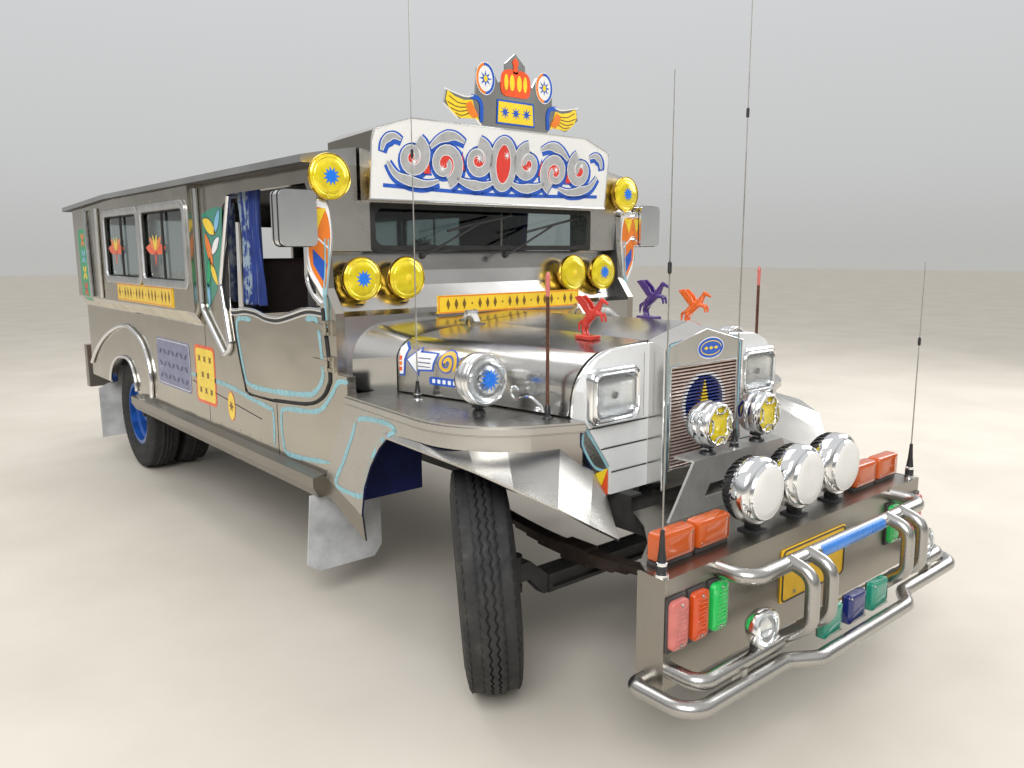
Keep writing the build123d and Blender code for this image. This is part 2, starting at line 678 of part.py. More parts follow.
def hood_lug(x):
    """Two lugs on the cowl's sleeve and the pin between them."""
    outer = HINGE_HALF + 11.0
    lug = Pos(x, HOOD_REAR_Y, HOOD_HINGE_Z) * Rot(0, 90, 0) * Cylinder(HOOD_PIN, 2 * outer)
    outline = [(746, 1232), (800, 1236), (800, 1252), (764, 1264), (754, 1290), (748, 1298), (732, 1298),
               (727, HOOD_HINGE_Z), (732, 1272), (744, 1262)]
    for side in (-1, 1):
        lug += side_plate(outline, x + side * (HINGE_HALF + 1.0), x + side * outer)
    return lug


def make_hood():
    """Hood, cut back along the slanted front edge and clear of the sleeve, with its hinge arms."""
    hood = arch_shell(HOOD_STATIONS, HOOD_BASE, SHEET)
    front_cut = [(-300, 900), (-100, 900), (-100, HOOD_BASE - 5), (-170, 1300), (-170, 1400), (-300, 1400)]
    hood -= side_plate(front_cut, -900, 900)
    hood -= block(-900, 900, HOOD_REAR_Y - 8, HOOD_REAR_Y + 50, 900, 1400)
    for x in (-HINGE_X, HINGE_X):
        hood += hood_arm(x)
        hood -= Pos(x, HOOD_REAR_Y, HOOD_HINGE_Z) * Rot(0, 90, 0) * Cylinder(HOOD_PIN + RUNNING_FIT, 100.0)
    return hood


# Rear face of the cowl's sheet, from the windshield down to the bulkhead, as (y, z)
COWL_INSIDE = [(1076, 1528), (1066, 1460), (1050, 1395), (997, 1287), (920, 1272)]


def make_cowl():
    """Cowl: bulkhead, sleeve behind the hood, sloping top and the sill under the windshield."""
    outer = [(COWL_Y, RAIL_TOP), (COWL_Y, 1285), (985, 1300), (1035, 1400), (1050, 1465), (1060, 1548),
             (GLASS_Y + 30, 1550)]
    inner = [(GLASS_Y + 30, 1530)] + COWL_INSIDE + [(920, RAIL_TOP)]
    cowl = side_plate(outer + inner, -COWL_HALF - 29, COWL_HALF + 29)
    cowl += arch_shell(SLEEVE_STATIONS, FENDER_TOP, SHEET)
    for x in (-HINGE_X, HINGE_X):
        cowl += hood_lug(x)
    return cowl


def make_screen_frame():
    """Windshield frame with a deep reveal round the glass, and the corners beside the headboard."""
    half = COWL_HALF + 29
    frame = block(-half, half, 1000, GLASS_Y + 30, 1550, SCREEN_TOP)
    frame -= block(-GLASS_HALF, GLASS_HALF, 990, GLASS_Y + 40, GLASS_BOTTOM, GLASS_TOP)
    for side in (-1, 1):
        frame += block(side * 724, side * half, 1000, 1040, SCREEN_TOP - 1, EAVE_Z)
    return frame


HEADBOARD_FRONT_Y = 900.0
HEADBOARD_REAR_Y = 1200.0


def headboard_block(inset):
    """Visor body: a plan outline, cut by the front view and by the sloping face."""
    front, rear = HEADBOARD_FRONT_Y + 5 + inset, HEADBOARD_REAR_Y - inset
    near, far = 700 - inset, 745 - inset
    bottom = SCREEN_TOP + inset
    prism = top_plate([(-near, front), (near, front), (far, rear), (-far, rear)], bottom, 2150)
    view = [(-760, bottom), (-760, 2000 - inset), (-690, 2042 - inset), (-516, 2100 - inset),
            (516, 2100 - inset), (690, 2042 - inset), (760, 2000 - inset), (760, bottom)]
    slope = [(940 + inset, bottom - 1), (HEADBOARD_FRONT_Y + inset, 2110), (rear + 1, 2110),
             (rear + 1, bottom - 1)]
    return prism & front_plate(view, 800, 1300) & side_plate(slope, -1000, 1000)


def make_headboard():
    return headboard_block(0) - headboard_block(15)


def fender_plan():
    """Outer plan of the fender, as a closed face at z = 0."""
    a, b, c = (-905, 790), (-940, 250), (-730, -100)
    front = (-FENDER_INNER_X, FASCIA_Y + 10)
    side_line = Line(a, b)
    shoulder = ThreePointArc(b, (-890, 45), c)
    nose = Line(c, front)
    rest = Polyline(front, (-FENDER_INNER_X, FENDER_REAR_Y), (-905, FENDER_REAR_Y), a)
    return make_face([side_line, shoulder, nose, rest])


def plan_prism(face, z0, z1):
    return extrude(Pos(0, 0, z0) * face, amount=z1 - z0, dir=(0, 0, 1))


# Flare stations: where it leaves the fender, and its outer edge
FLARE = [((-930, 500, 882), (-936, 500, 870)),
         ((-936, 260, 897), (-950, 230, 868)),
         ((-886, 50, 897), (-957, -90, 860)),
         ((-795, -46, 897), (-905, -215, 822)),
         ((-640, -137, 893), (-800, -305, 758)),
         ((-508, -168, 800), (-705, -349, 694)),
         ((-442, -168, 700), (-600, -380, 630))]
FLARE_THICKNESS = 7.0


def flare_section(inner, outer):
    x0, y0, z0 = inner
    x1, y1, z1 = outer
    x0 += 6.0
    return make_face(Polyline((x0, y0, z0), (x1, y1, z1), (x1, y1, z1 - FLARE_THICKNESS),
                              (x0, y0, z0 - FLARE_THICKNESS), close=True))


def make_flare():
    """Sheet that sweeps from the wheel arch out over the front of the tyre."""
    sections = [flare_section(inner, outer) for inner, outer in FLARE]
    flare = None
    for first, second in zip(sections, sections[1:]):
        strip = loft([first, second], ruled=True)
        flare = strip if flare is None else flare + strip
    return flare


# Wheel arch as (y, z), and the lower edge of the fender's nose as (x, z)
ARCH_OUTLINE = [(735, 300), (735, 480), (700, 620), (640, 720), (560, 810), (490, 862), (400, 885),
                (250, 892), (60, 892), (-45, 872), (-110, 800), (-160, 690), (-260, 600), (-260, 300)]
NOSE_CUT = [(-760, 400), (-760, 817), (-700, 801), (-650, 784), (-600, 758), (-566, 717), (-540, 695),
            (-540, 400)]

# Beads of the moulding round the fender's top: how far they stand out, bottom, top
MOULDING = [(12.0, 944.0, 950.0), (20.0, 950.0, 972.0), (12.0, 972.0, FENDER_TOP)]

# Nose panel that fills the corner beside the front panel, as (x, z)
NOSE_PANEL = [(-557.6, 970), (-430.3, 799.4), (-430.3, 692), (-446, 692), (-508, 800), (-568, 893),
              (-568, 970)]


def make_moulding(plan):
    """Rounded moulding round the fender's outer edge at the height of its top."""
    inside = plan_prism(offset(plan, amount=-SHEET / 2), MOULDING[0][1] - 1, FENDER_TOP + 1)
    moulding = None
    for reach, low, high in MOULDING:
        bead = plan_prism(offset(plan, amount=reach), low, high) - inside
        moulding = bead if moulding is None else moulding + bead
    moulding -= block(-FENDER_INNER_X - 2, 0, -300, 1200, 900, 1000)
    return moulding - block(-1100, 0, 815, 1200, 900, 1000)


def make_fender():
    """Right fender: pressed sheet open below, with its moulding, side panel, nose and flare."""
    plan = fender_plan()
    low = 480.0
    shell = plan_prism(plan, low, FENDER_TOP)
    shell -= plan_prism(offset(plan, amount=-SHEET), low - 1, FENDER_TOP - SHEET)
    shell -= block(-880, -500, -92, 1200, low - 1, 825)
    shell -= block(-890, -500, 822, 1200, low - 1, FENDER_TOP + 1)
    shell -= front_plate(NOSE_CUT, -300, -85)
    shell += block(-898, -FENDER_INNER_X, 810, 818, 530, FENDER_TOP - 4)
    shell -= side_plate(ARCH_OUTLINE, -1000, -740)
    shell -= side_plate([(700, 470), (735, 497), (1060, 602), (1100, 602), (1100, 470)], -1000, -500)
    rear_cut = [(822, FENDER_TOP + 10), (822, 972), (1050, 555), (1200, 555), (1200, FENDER_TOP + 10)]
    shell -= side_plate(rear_cut, -1000, -500)
    shell += make_moulding(plan)
    shell += front_plate(NOSE_PANEL, FASCIA_Y + 8, FASCIA_Y + 16)
    return shell + make_flare()


# Heights of the grooves between the front panel's planks
PLANK_GROOVES = (780.0, 870.0, 950.0)


def make_fascia():
    """Planked front panel either side of the radiator shell."""
    outline = [(-556, 975), (-566, 1080), (-545, 1140), (-500, 1185), (-430, 1212), (-SHELL_HALF, 1222),
               (-SHELL_HALF, 700), (-430, 700), (-430, 800)]
    panel = front_plate(outline, FASCIA_Y, FASCIA_Y + SHEET)
    edge = [(FASCIA_Y - 1, 700), (-112, 700), (-112, 975), (-177, 1250), (FASCIA_Y - 1, 1250)]
    rim = front_plate(outline, FASCIA_Y, -90)
    rim -= front_plate([(x + (SHEET if x < -300 else -1), z - (SHEET if z > 1000 else -SHEET))
                        for x, z in outline], FASCIA_Y - 1, 0)
    rim &= side_plate(edge, -700, -200)
    for z in PLANK_GROOVES:
        panel -= block(-600, -SHELL_HALF + 1, FASCIA_Y - 1, FASCIA_Y + 3, z - 4, z + 4)
    return panel + rim


def gable(half, bottom, corner, peak):
    return [(-half, bottom), (half, bottom), (half, corner), (0, peak), (-half, corner)]


def make_shell():
    """Gabled radiator shell with the grille opening."""
    front = flat(Plane(origin=(0, SHELL_FRONT_Y, 0), x_dir=(1, 0, 0), z_dir=(0, -1, 0)),
                 gable(SHELL_HALF, 690, 1205, 1262))
    back = flat(Plane(origin=(0, FASCIA_Y + 8, 0), x_dir=(1, 0, 0), z_dir=(0, -1, 0)),
                gable(SHELL_HALF, 690, 1232, 1290))
    shell = loft([front, back], ruled=True)
    shell -= block(-GRILLE_HALF, GRILLE_HALF, SHELL_FRONT_Y - 5, FASCIA_Y + 20, GRILLE_BOTTOM, GRILLE_TOP)
    return shell


def make_slats():
    """Grille slats on upright bars, and the core behind them."""
    pitch = (GRILLE_TOP - GRILLE_BOTTOM) / SLAT_COUNT
    grille = None
    for x in (-150.0, 0.0, 150.0):
        bar = block(x - 5, x + 5, SHELL_FRONT_Y + 36, SHELL_FRONT_Y + 46, GRILLE_BOTTOM, GRILLE_TOP)
        grille = bar if grille is None else grille + bar
    for index in range(SLAT_COUNT):
        z = GRILLE_BOTTOM + (index + 0.5) * pitch
        grille += block(-GRILLE_HALF, GRILLE_HALF, SHELL_FRONT_Y + 8, SHELL_FRONT_Y + 38, z - 2.5, z + 2.5)
    return grille


def make_radiator_core():
    return block(-GRILLE_HALF + 4, GRILLE_HALF - 4, FASCIA_Y + 8, FASCIA_Y + 70, 640, 1130)


# Front lamps: x, y of the face, z, radius, depth
DRIVING_LAMPS = [(-250.0, -690.0, 787.0), (0.0, -690.0, 787.0), (250.0, -690.0, 787.0)]
DRIVING_RADIUS = 112.0
FOG_LAMPS = [(-151.0, -415.0, 950.0), (151.0, -415.0, 950.0)]


def round_lamp(centre, radius, depth, lean=(0, -1, 0)):
    """Lamp: rim, lens and a tapering back; the centre is in the middle of its face."""
    outline = [(0, 0), (radius - 8, 0), (radius, -6), (radius, -0.35 * depth), (0.82 * radius, -0.7 * depth),
               (0.45 * radius, -depth), (0, -depth)]
    return turned(outline, centre, lean)


def make_driving_lamps():
    lamps = []
    for x, y, z in DRIVING_LAMPS:
        lamp = round_lamp((x, y, z), DRIVING_RADIUS, 130.0)
        lamp += block(x - 14, x + 14, y + 30, y + 70, BUMPER_TOP, z - 60)
        lamps.append(lamp)
    return lamps


def make_fog_lamps():
    """Trapezoid bracket on the bumper's top with a slot, and two fog lamps on it."""
    outline = [(-400, BUMPER_TOP), (400, BUMPER_TOP), (270, 840), (-270, 840)]
    bracket = front_plate(outline, -420, -410)
    bracket -= front_plate([(-210, 700), (210, 700), (180, 745), (-180, 745)], -430, -400)
    bracket += block(-270, 270, -420, -330, 832, 840)
    for x, y, z in FOG_LAMPS:
        lamp = round_lamp((x, y, z), 78.0, 95.0)
        bracket += lamp + block(x - 12, x + 12, y + 20, y + 44, 838, z - 50)
    return bracket


def make_bumper():
    """Stainless box bumper with its top plate back to the radiator."""
    bumper = block(-BUMPER_HALF, BUMPER_HALF, BUMPER_FRONT_Y, BUMPER_FRONT_Y + SHEET, BUMPER_BOTTOM,
                   BUMPER_TOP)
    for side in (-1, 1):
        bumper += block(side * (BUMPER_HALF - SHEET), side * BUMPER_HALF, BUMPER_FRONT_Y,
                        BUMPER_FRONT_Y + 100, BUMPER_BOTTOM, BUMPER_TOP)
    half_plan = [(788, -720), (772, -635), (730, -580), (590, -490), (485, -385), (400, -262)]
    plan = half_plan + [(-x, y) for x, y in reversed(half_plan)]
    bumper += top_plate(plan, BUMPER_TOP - SHEET, BUMPER_TOP)
    return bumper


def make_bull_bar():
    """Bent tubes in front of the bumper: two lower bars, an upper bar and two pairs of hoops."""
    end, low, high = BUMPER_HALF, 332.0, 380.0
    outer = [(-end, -655, low), (-840, -655, low), (-840, -860, low), (-385, -860, low),
             (-290, BAR_FRONT_Y, low), (290, BAR_FRONT_Y, low), (385, -860, low), (840, -860, low),
             (840, -655, low), (end, -655, low)]
    inner = [(-764, BUMPER_FRONT_Y, high), (-764, -830, high), (764, -830, high), (764, BUMPER_FRONT_Y, high)]
    upper = [(-550, BUMPER_FRONT_Y, 625), (-550, -840, 625), (550, -840, 625), (550, BUMPER_FRONT_Y, 625)]
    bars = bent_tube(outer, [26, 75, 60, 60, 60, 60, 75, 26], TUBE_RADIUS)
    bars += bent_tube(inner, [45, 45], TUBE_RADIUS)
    bars += bent_tube(upper, [60, 60], TUBE_RADIUS)
    for x in (-360, -255, 255, 360):
        hoop = [(x, -840, 635), (x, BAR_FRONT_Y, 610), (x, BAR_FRONT_Y - 2, 460), (x, -832, 388)]
        bars += bent_tube(hoop, [50, 60], TUBE_RADIUS - 2)
    for x in (-600, 600):
        bars += block(x - 12, x + 12, -862, -828, low, high)
    return bars


def make_headlamps():
    """Rectangular headlamps with a rounded bezel."""
    lamps = []
    for side in (-1, 1):
        centre = (side * HEADLAMP_X, HEADLAMP_Z)
        face = Plane(origin=(centre[0], FASCIA_Y, centre[1]), x_dir=(1, 0, 0), z_dir=(0, -1, 0))
        bezel = extrude(face * RectangleRounded(250, 236, 45), amount=32)
        lens = Plane(origin=(centre[0], FASCIA_Y - 32, centre[1]), x_dir=(1, 0, 0), z_dir=(0, -1, 0))
        bezel -= extrude(lens * RectangleRounded(206, 192, 32), amount=-22)
        seat = Plane(origin=(centre[0], FASCIA_Y - 10, centre[1]), x_dir=(1, 0, 0), z_dir=(0, -1, 0))
        glass = extrude(seat * RectangleRounded(206, 192, 32), amount=14)
        lamps.append(bezel + glass)
    return lamps


# Small lamps. Deck pair: x from, x to. Bumper triples: x. Tail lamps: z.
DECK_LAMPS = ((396.0, 560.0), (574.0, 735.0))
TRIPLE_LAMPS = (556.0, 650.0, 744.0)
TAIL_LAMPS = (640.0, 730.0, 820.0)
BAR_LAMPS = (-155.0, 0.0, 155.0)
ROUND_LAMP_X = 520.0


def make_marker_lamps(bars):
    """Small coloured lamps on the bumper, on the bull bar and beside the rear doorway."""
    lamps = []
    for side in (-1, 1):
        for x0, x1 in DECK_LAMPS:
            lamps.append(block(side * x0, side * x1, -660, -604, BUMPER_TOP, BUMPER_TOP + 98))
        for x in TRIPLE_LAMPS:
            lamps.append(block(side * (x - 42), side * (x + 42), BUMPER_FRONT_Y - 30, BUMPER_FRONT_Y,
                               434, 598))
        for z in TAIL_LAMPS:
            lamps.append(Pos(side * 780, BODY_REAR_Y + 15, z) * Rot(90, 0, 0) * Cylinder(36.0, 30.0))
        lamp = round_lamp((side * ROUND_LAMP_X, -876, 482), 60.0, 60.0)
        x = side * ROUND_LAMP_X
        lamps.append(lamp + (block(x - 9, x + 9, -846, -826, 390, 470) - bars))
    for x in BAR_LAMPS:
        lamps.append(block(x - 57, x + 57, -890, -846, 345, 445) - bars)
    return lamps


# Yellow lamps: x, y of the face, z
YELLOW_LAMPS = [(510.0, 965.0, 1435.0), (732.0, 965.0, 1435.0), (878.0, 940.0, 1845.0)]
YELLOW_DEPTH = 60.0


def make_cab_lamps():
    """Yellow lamps on the cowl and the body's corners, and the clear lamps on the fenders."""
    lamps = []
    for side in (-1, 1):
        for x, y, z in YELLOW_LAMPS:
            lamp = round_lamp((side * x, y, z), 92.0, YELLOW_DEPTH)
            if z < GLASS_BOTTOM:
                back = y + YELLOW_DEPTH - 14
                foot = [(back, 1420), (1039.6, 1420), (1044.2, 1440), (back, 1440)]
                lamp += side_plate(foot, side * x - 12, side * x + 12)
            lamps.append(lamp)
        lamp = round_lamp((side * 740, 120, 1106), 95.0, 110.0)
        lamps.append(lamp + Pos(side * 740, 168, FENDER_TOP + 25) * Cylinder(16.0, 50.0))
    return lamps


def make_mirrors():
    """Mirror heads on two arms from the front posts."""
    mirrors = []
    for side in (-1, 1):
        head = block(side * 960, side * 1115, 905, 985, 1570, 1785)
        head = fillet(head.edges().filter_by(Axis.Y), 25.0)
        for z in (1610.0, 1735.0):
            head += block(side * SIDE_X, side * (SIDE_X + 12), 1012, 1048, z - 18, z + 18)
            head += rod((side * 960, 950, z), (side * (SIDE_X + 6), 1030, z), 8.0)
        mirrors.append(head)
    return mirrors


# Aerials: x, y, foot height, tip height, radius at the foot
AERIALS = [(-768.0, -690.0, BUMPER_TOP, 2000.0, 5.0), (768.0, -690.0, BUMPER_TOP, 1500.0, 5.0),
           (-738.0, 560.0, FENDER_TOP, 2450.0, 4.0), (-620.0, -60.0, FENDER_TOP, 1480.0, 6.0),
           (620.0, -60.0, FENDER_TOP, 1480.0, 6.0), (0.0, -390.0, 840.0, 2700.0, 4.0)]


def make_aerials():
    rods = []
    for x, y, foot, tip, radius in AERIALS:
        mast = Pos(x, y, (foot + tip) / 2) * Cylinder(radius * 0.6, tip - foot)
        mast += Pos(x, y, foot + 45) * Cylinder(12.0, 90.0)
        rods.append(mast)
    return rods


def make_rear_bumper():
    """Rear step bumper on brackets from the frame, with a tow-pin hole in the step."""
    beam = block(-860, 860, REAR_END_Y - 90, REAR_END_Y, 450, 590)
    beam -= block(-850, 850, REAR_END_Y - 80, REAR_END_Y + 1, 462, 578)
    for side in (-1, 1):
        beam += block(side * (RAIL_OUTER_X - 55), side * (RAIL_OUTER_X - 5), 4740, REAR_END_Y - 88,
                      520, RAIL_BOTTOM)
        beam += block(side * 740, side * 860, REAR_END_Y - 90, REAR_END_Y - 10, 590, 800)
    beam += block(-386, 386, BODY_REAR_Y + 10, REAR_END_Y - 88, STEP_BOTTOM, STEP_BOTTOM + STEP_THICKNESS)
    beam -= Pos(0, TOW_PIN_Y, RAIL_BOTTOM) * Cylinder(TOW_PIN_RADIUS, 80.0)
    return beam


def make_mud_flaps():
    flaps = []
    for side in (-1, 1):
        flaps.append(front_plate([(side * 950, 500), (side * 600, 500), (side * 600, 200), (side * 640, 150),
                                  (side * 920, 150), (side * 975, 190)], 1100, 1108))
        flaps.append(front_plate([(side * 850, RAIL_TOP), (side * 450, RAIL_TOP), (side * 450, 180),
                                  (side * 960, 160), (side * 960, 540), (side * 850, 590)],
                                 BOX_REAR_Y + SHEET, BOX_REAR_Y + SHEET + 8))
    return flaps


def make_sills():
    """Stainless sill channel along each side, with its wedge behind the front wheel."""
    sills = []
    for side in (-1, 1):
        x = side * SIDE_X
        profile = [(x, SILL_Z), (side * 955, 590), (side * 955, 545), (side * 930, 500), (side * 865, 500),
                   (side * 865, SILL_Z)]
        rail = front_plate(profile, 1055, 3720)
        rail += side_plate([(720, 390), (742, 492), (1056, 596), (1056, 500), (1000, 500)], x - side * 8, x)
        sills.append(rail)
    return sills


def make_cab_seat():
    base = block(-800, 800, 1560, 2020, RAIL_TOP + FLOOR_THICKNESS, 930)
    cushion = block(-800, 800, 1540, 2060, 930, 1060)
    cushion = fillet(cushion.edges().filter_by(Axis.X), 40.0)
    back = block(-800, 800, 2000, 2110, 980, 1520)
    back = fillet(back.edges().filter_by(Axis.X), 35.0)
    return base, cushion + back


def make_benches():
    benches = []
    for side in (-1, 1):
        seat = block(side * 405, side * 855, 2200, BODY_REAR_Y - SIDE_WALL - 10, BENCH_TOP, BENCH_TOP + 90)
        seat = fillet(seat.edges().filter_by(Axis.Y), 30.0)
        benches.append(seat)
    return benches


def make_dashboard():
    """Dashboard, steering column and wheel."""
    dash = side_plate([(920, 1200), (1260, 1200), (1300, 1240), (1300, 1400), (1260, 1440),
                       (1061.1, 1440)] + COWL_INSIDE[2:], -820, 820)
    column_low, column_high = (380, 1230, 1210), (380, 1480, 1335)
    dash += rod(column_low, column_high, 22.0)
    axis = Vector(*column_high) - Vector(*column_low)
    wheel_plane = Plane(origin=column_high, z_dir=axis)
    ring = wheel_plane.location * Torus(205.0, 13.0)
    for turn in range(3):
        spoke = Rot(0, 0, 120 * turn + 90) * Pos(100, 0, 0) * Box(200, 22, 10)
        ring += wheel_plane.location * spoke
    return dash + ring


def spline_tube(x, points, radius):
    """Tube on the body's side along a smooth line through points of (y, z)."""
    path = Spline(*[(x, y, z) for y, z in points])
    return sweep(Plane(origin=path @ 0, z_dir=path % 0) * Circle(radius), path=path)


def make_side_trim():
    """Chrome tubes round the art panel, the mouldings of the rear arch and the rear posts' tubes."""
    trims = []
    front = OVERHANG_FRONT_Y - TRIM_RADIUS - 2
    for side in (-1, 1):
        x = side * (SIDE_X + TRIM_RADIUS)
        upper_x = side * (UPPER_SIDE_X + TRIM_RADIUS)
        trims.append(bent_tube([(x, front, 1880), (x, front, 1250), (x, 2085, 1022), (x, 1996, 1060),
                                (x, 2080, 1390), (x, 1915, 1820)], [70, 30, 45, 60], TRIM_RADIUS))
        trims.append(spline_tube(x, ARCH_MOULDING, TRIM_RADIUS))
        trims.append(spline_tube(side * (SIDE_X + LIP_RADIUS), WHEEL_LIP, LIP_RADIUS))
        trims.append(rod((upper_x, 4505, 1850), (upper_x, 4470, 1232), TRIM_RADIUS))
        trims.append(rod((upper_x, 4190, 1850), (upper_x, 4208, 1232), TRIM_RADIUS))
    return trims


def make_crest():
    """Crowned and winged crest on the headboard."""
    outline = [(-410, 2190), (-395, 2250), (-300, 2225), (-235, 2240), (-230, 2300), (-225, 2360),
               (-180, 2385), (-135, 2360), (-105, 2310), (-60, 2330), (-60, 2400), (0, 2450), (60, 2400),
               (60, 2330), (105, 2310), (135, 2360), (180, 2385), (225, 2360), (230, 2300), (235, 2240),
               (300, 2225), (395, 2250), (410, 2190), (330, 2130), (240, 2150), (200, 2112),
               (-200, 2112), (-240, 2150), (-330, 2130)]
    board = front_plate([(x + CREST_X, z) for x, z in outline], 945, 957)
    board += block(CREST_X - 180, CREST_X + 180, 945, 957, 2100, 2116)
    return board


def make_curtains():
    curtains = []
    for side in (-1, 1):
        edge = SIDE_X - SIDE_WALL - 0.3
        curtains.append(block(side * (edge - 40), side * edge, 1690, 1970, 1285, 1860))
    return curtains


def limb(points):
    """Tapered rods joined in a row, from points of (x, y, z, radius)."""
    body = None
    for (x0, y0, z0, r0), (x1, y1, z1, r1) in zip(points, points[1:]):
        start, end = Vector(x0, y0, z0), Vector(x1, y1, z1)
        length = (end - start).length
        piece = Plane(origin=start, z_dir=end - start).location * Pos(0, 0, length / 2)
        part = piece * Cone(r0, r1, length) + Pos(x1, y1, z1) * Sphere(r1 * 1.03)
        body = part if body is None else body + part
    return body


def make_figure(x, y, z):
    """Rearing winged horse, a little statue on a foot that follows the hood."""
    horse = limb([(0, 44, 62, 17), (0, 18, 84, 19), (0, -6, 100, 16), (0, -26, 128, 10), (0, -34, 142, 9),
                  (0, -62, 130, 6)])
    for half in (-9, 9):
        horse += limb([(half, 40, 58, 12), (half, 52, 34, 7), (half, 40, 6, 6)])
        horse += limb([(half, -4, 92, 9), (half, -40, 90, 6), (half, -46, 66, 5)])
        wing = [(4, 96), (22, 128), (60, 158), (92, 150), (70, 128), (36, 92)]
        horse += side_plate(wing, half * 1.6 - 4, half * 1.6 + 4)
    horse += limb([(0, 52, 66, 8), (0, 78, 52, 7), (0, 82, 22, 4)])
    foot = block(-26, 26, -10, 80, -45, 12)
    return Pos(x, y, z) * (horse + foot)


# Figures on the hood: x, y, height of the foot
FIGURES = [(-330.0, 0.0, 1230.0), (70.0, 50.0, 1276.0), (290.0, 10.0, 1232.0)]


def make_figures():
    hood = hood_form(HOOD_STATIONS, HOOD_BASE, 0.0)
    return [make_figure(x, y, z) - hood for x, y, z in FIGURES]


def door_swing(side, z, part):
    """Outside hinge of a door: the door's strap and barrel, or the body's leaf, lugs and pin."""
    x, y = side * DOOR_HINGE_X, DOOR_HINGE_Y
    if part == "door":
        hinge = block(side * (SIDE_X - 1), side * (SIDE_X + 8), 1012, 1110, z - 13, z + 13)
        hinge += block(side * (SIDE_X + 3), side * (SIDE_X + 9), y + 2, 1016, z - 13, z + 13)
        return hinge + Pos(x, y, z) * Cylinder(11.0, 30.0)
    hinge = block(side * (SIDE_X - 1), side * (SIDE_X + 8), 915, 955, z - 32, z + 32)
    for end in (-1, 1):
        level = z + end * 23.0
        hinge += block(side * (SIDE_X + 4), x, 940, y, level - 7, level + 7)
        hinge += Pos(x, y, level) * Cylinder(11.0, 14.0)
    return hinge + Pos(x, y, z) * Cylinder(DOOR_PIN, 60.0)


def make_door(side):
    """Cab door with its two outside hinges."""
    door = side_plate(DOOR_OUTLINE, side * (SIDE_X - DOOR_THICKNESS), side * SIDE_X)
    for z in DOOR_HINGES_Z:
        door += door_swing(side, z, "door")
        door -= Pos(side * DOOR_HINGE_X, DOOR_HINGE_Y, z) * Cylinder(DOOR_PIN + RUNNING_FIT, 60.0)
    return door


def make_boards():
    """Blank route boards: one over the cowl, one on each upper side."""
    boards = [block(-400, 473, COWL_Y - 10, COWL_Y, 1274, 1354)]
    for side in (-1, 1):
        boards.append(block(side * UPPER_SIDE_X, side * (UPPER_SIDE_X + 6), 2720, 3830, 1235, 1350))
    return boards


def make_plate():
    return block(-200, 200, BUMPER_FRONT_Y - 6, BUMPER_FRONT_Y, 410, 590)


def at_front_axle(shape):
    return Pos(0, FRONT_AXLE_Y, 0) * shape


def make_tie_rod():
    """Rod between the knuckle arms, with a stud up through each arm."""
    housing_radius, height = TIE_HOUSING
    top = ARM_BOTTOM - 3.0
    shift = (TIE_ARM * math.sin(LOCK), TIE_ARM * math.cos(LOCK))
    tie = None
    for side in (-1, 1):
        x, y = side * KINGPIN_X + shift[0], shift[1]
        end = Pos(x, y, top - height / 2) * Cylinder(housing_radius, height)
        end += Pos(x, y, (top + ARM_BOTTOM + ARM_THICKNESS) / 2) * Cylinder(STUD_RADIUS, ARM_THICKNESS + 9)
        tie = end if tie is None else tie + end
    z = top - height / 2
    return tie + rod((-KINGPIN_X + shift[0], shift[1], z), (KINGPIN_X + shift[0], shift[1], z), 11.0)


def build():
    write("frame_rails", make_frame())
    write("engine_block", make_engine())
    write("front_axle", at_front_axle(make_front_axle()))
    write("rear_axle", make_rear_axle())
    write("leaf_springs", *make_springs())
    write("exhaust_pipe", make_exhaust())
    write("fuel_tank", make_tank())
    write("floor_pan", make_floor())
    write("bench_frames", *make_bench_frames())
    for name, side in (("right", -1), ("left", 1)):
        write(f"body_side_{name}", make_body_side(side))
        write(f"door_{name}", make_door(side))
        fender = make_fender()
        write(f"fender_{name}", fender if side < 0 else mirrored(fender))
        hole = STUD_RADIUS + (RUNNING_FIT if side < 0 else 1.2)
        write(f"knuckle_{name}", at_front_axle(make_knuckle(side, hole)))
        tyre, rim = make_front_wheel(side)
        write(f"tyre_front_{name}", at_front_axle(tyre))
        write(f"rim_front_{name}", at_front_axle(rim))
        tyres, rims = make_rear_wheels(side)
        write(f"tyres_rear_{name}", *tyres)
        write(f"rims_rear_{name}", rims)
    write("roof_panel", make_roof())
    write("rear_wall", make_rear_wall())
    write("cowl_panel", make_cowl())
    write("windshield_frame", make_screen_frame())
    write("window_glass", *make_side_glass())
    write("headboard", make_headboard())
    write("crest", make_crest())
    fascia = make_fascia()
    write("front_fascia", *both(fascia))
    write("radiator_shell", make_shell())
    write("grille_slats", make_slats())
    write("radiator_core", make_radiator_core())
    write("headlamps", *make_headlamps())
    write("front_bumper", make_bumper())
    bars = make_bull_bar()
    write("bull_bar", bars)
    write("driving_lamps", *make_driving_lamps())
    write("fog_lamps", make_fog_lamps())
    write("marker_lamps", *make_marker_lamps(bars))
    write("cab_lamps", *make_cab_lamps())
    write("mirrors", *make_mirrors())
    write("aerials", *make_aerials())
    write("rear_bumper", make_rear_bumper())
    write("mud_flaps", *make_mud_flaps())
    write("sill_rails", *make_sills())
    base, cushions = make_cab_seat()
    write("cab_seat_base", base)
    write("cab_seat", cushions)
    write("benches", *make_benches())
    write("dashboard", make_dashboard())
    write("side_trim", *make_side_trim())
    write("route_boards", *make_boards())
    write("number_plate", make_plate())
    write("curtains", *make_curtains())
    write("hood", make_hood())
    write("hood_figures", *make_figures())
    write("tie_rod", at_front_axle(make_tie_rod()))


build()
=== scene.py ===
"""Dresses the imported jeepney: finishes, tyres, lamps, painted panels, trim, curtains and cushions.

Metres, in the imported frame. Places are written as (x, y, z) from the front axle line, with the
vehicle's left at +X and its front at -Y, and are moved back by BACK when a mesh is made.
"""
import math

import bmesh
import bpy
from mathutils import Matrix, Vector
from mathutils.bvhtree import BVHTree
from mathutils.geometry import tessellate_polygon


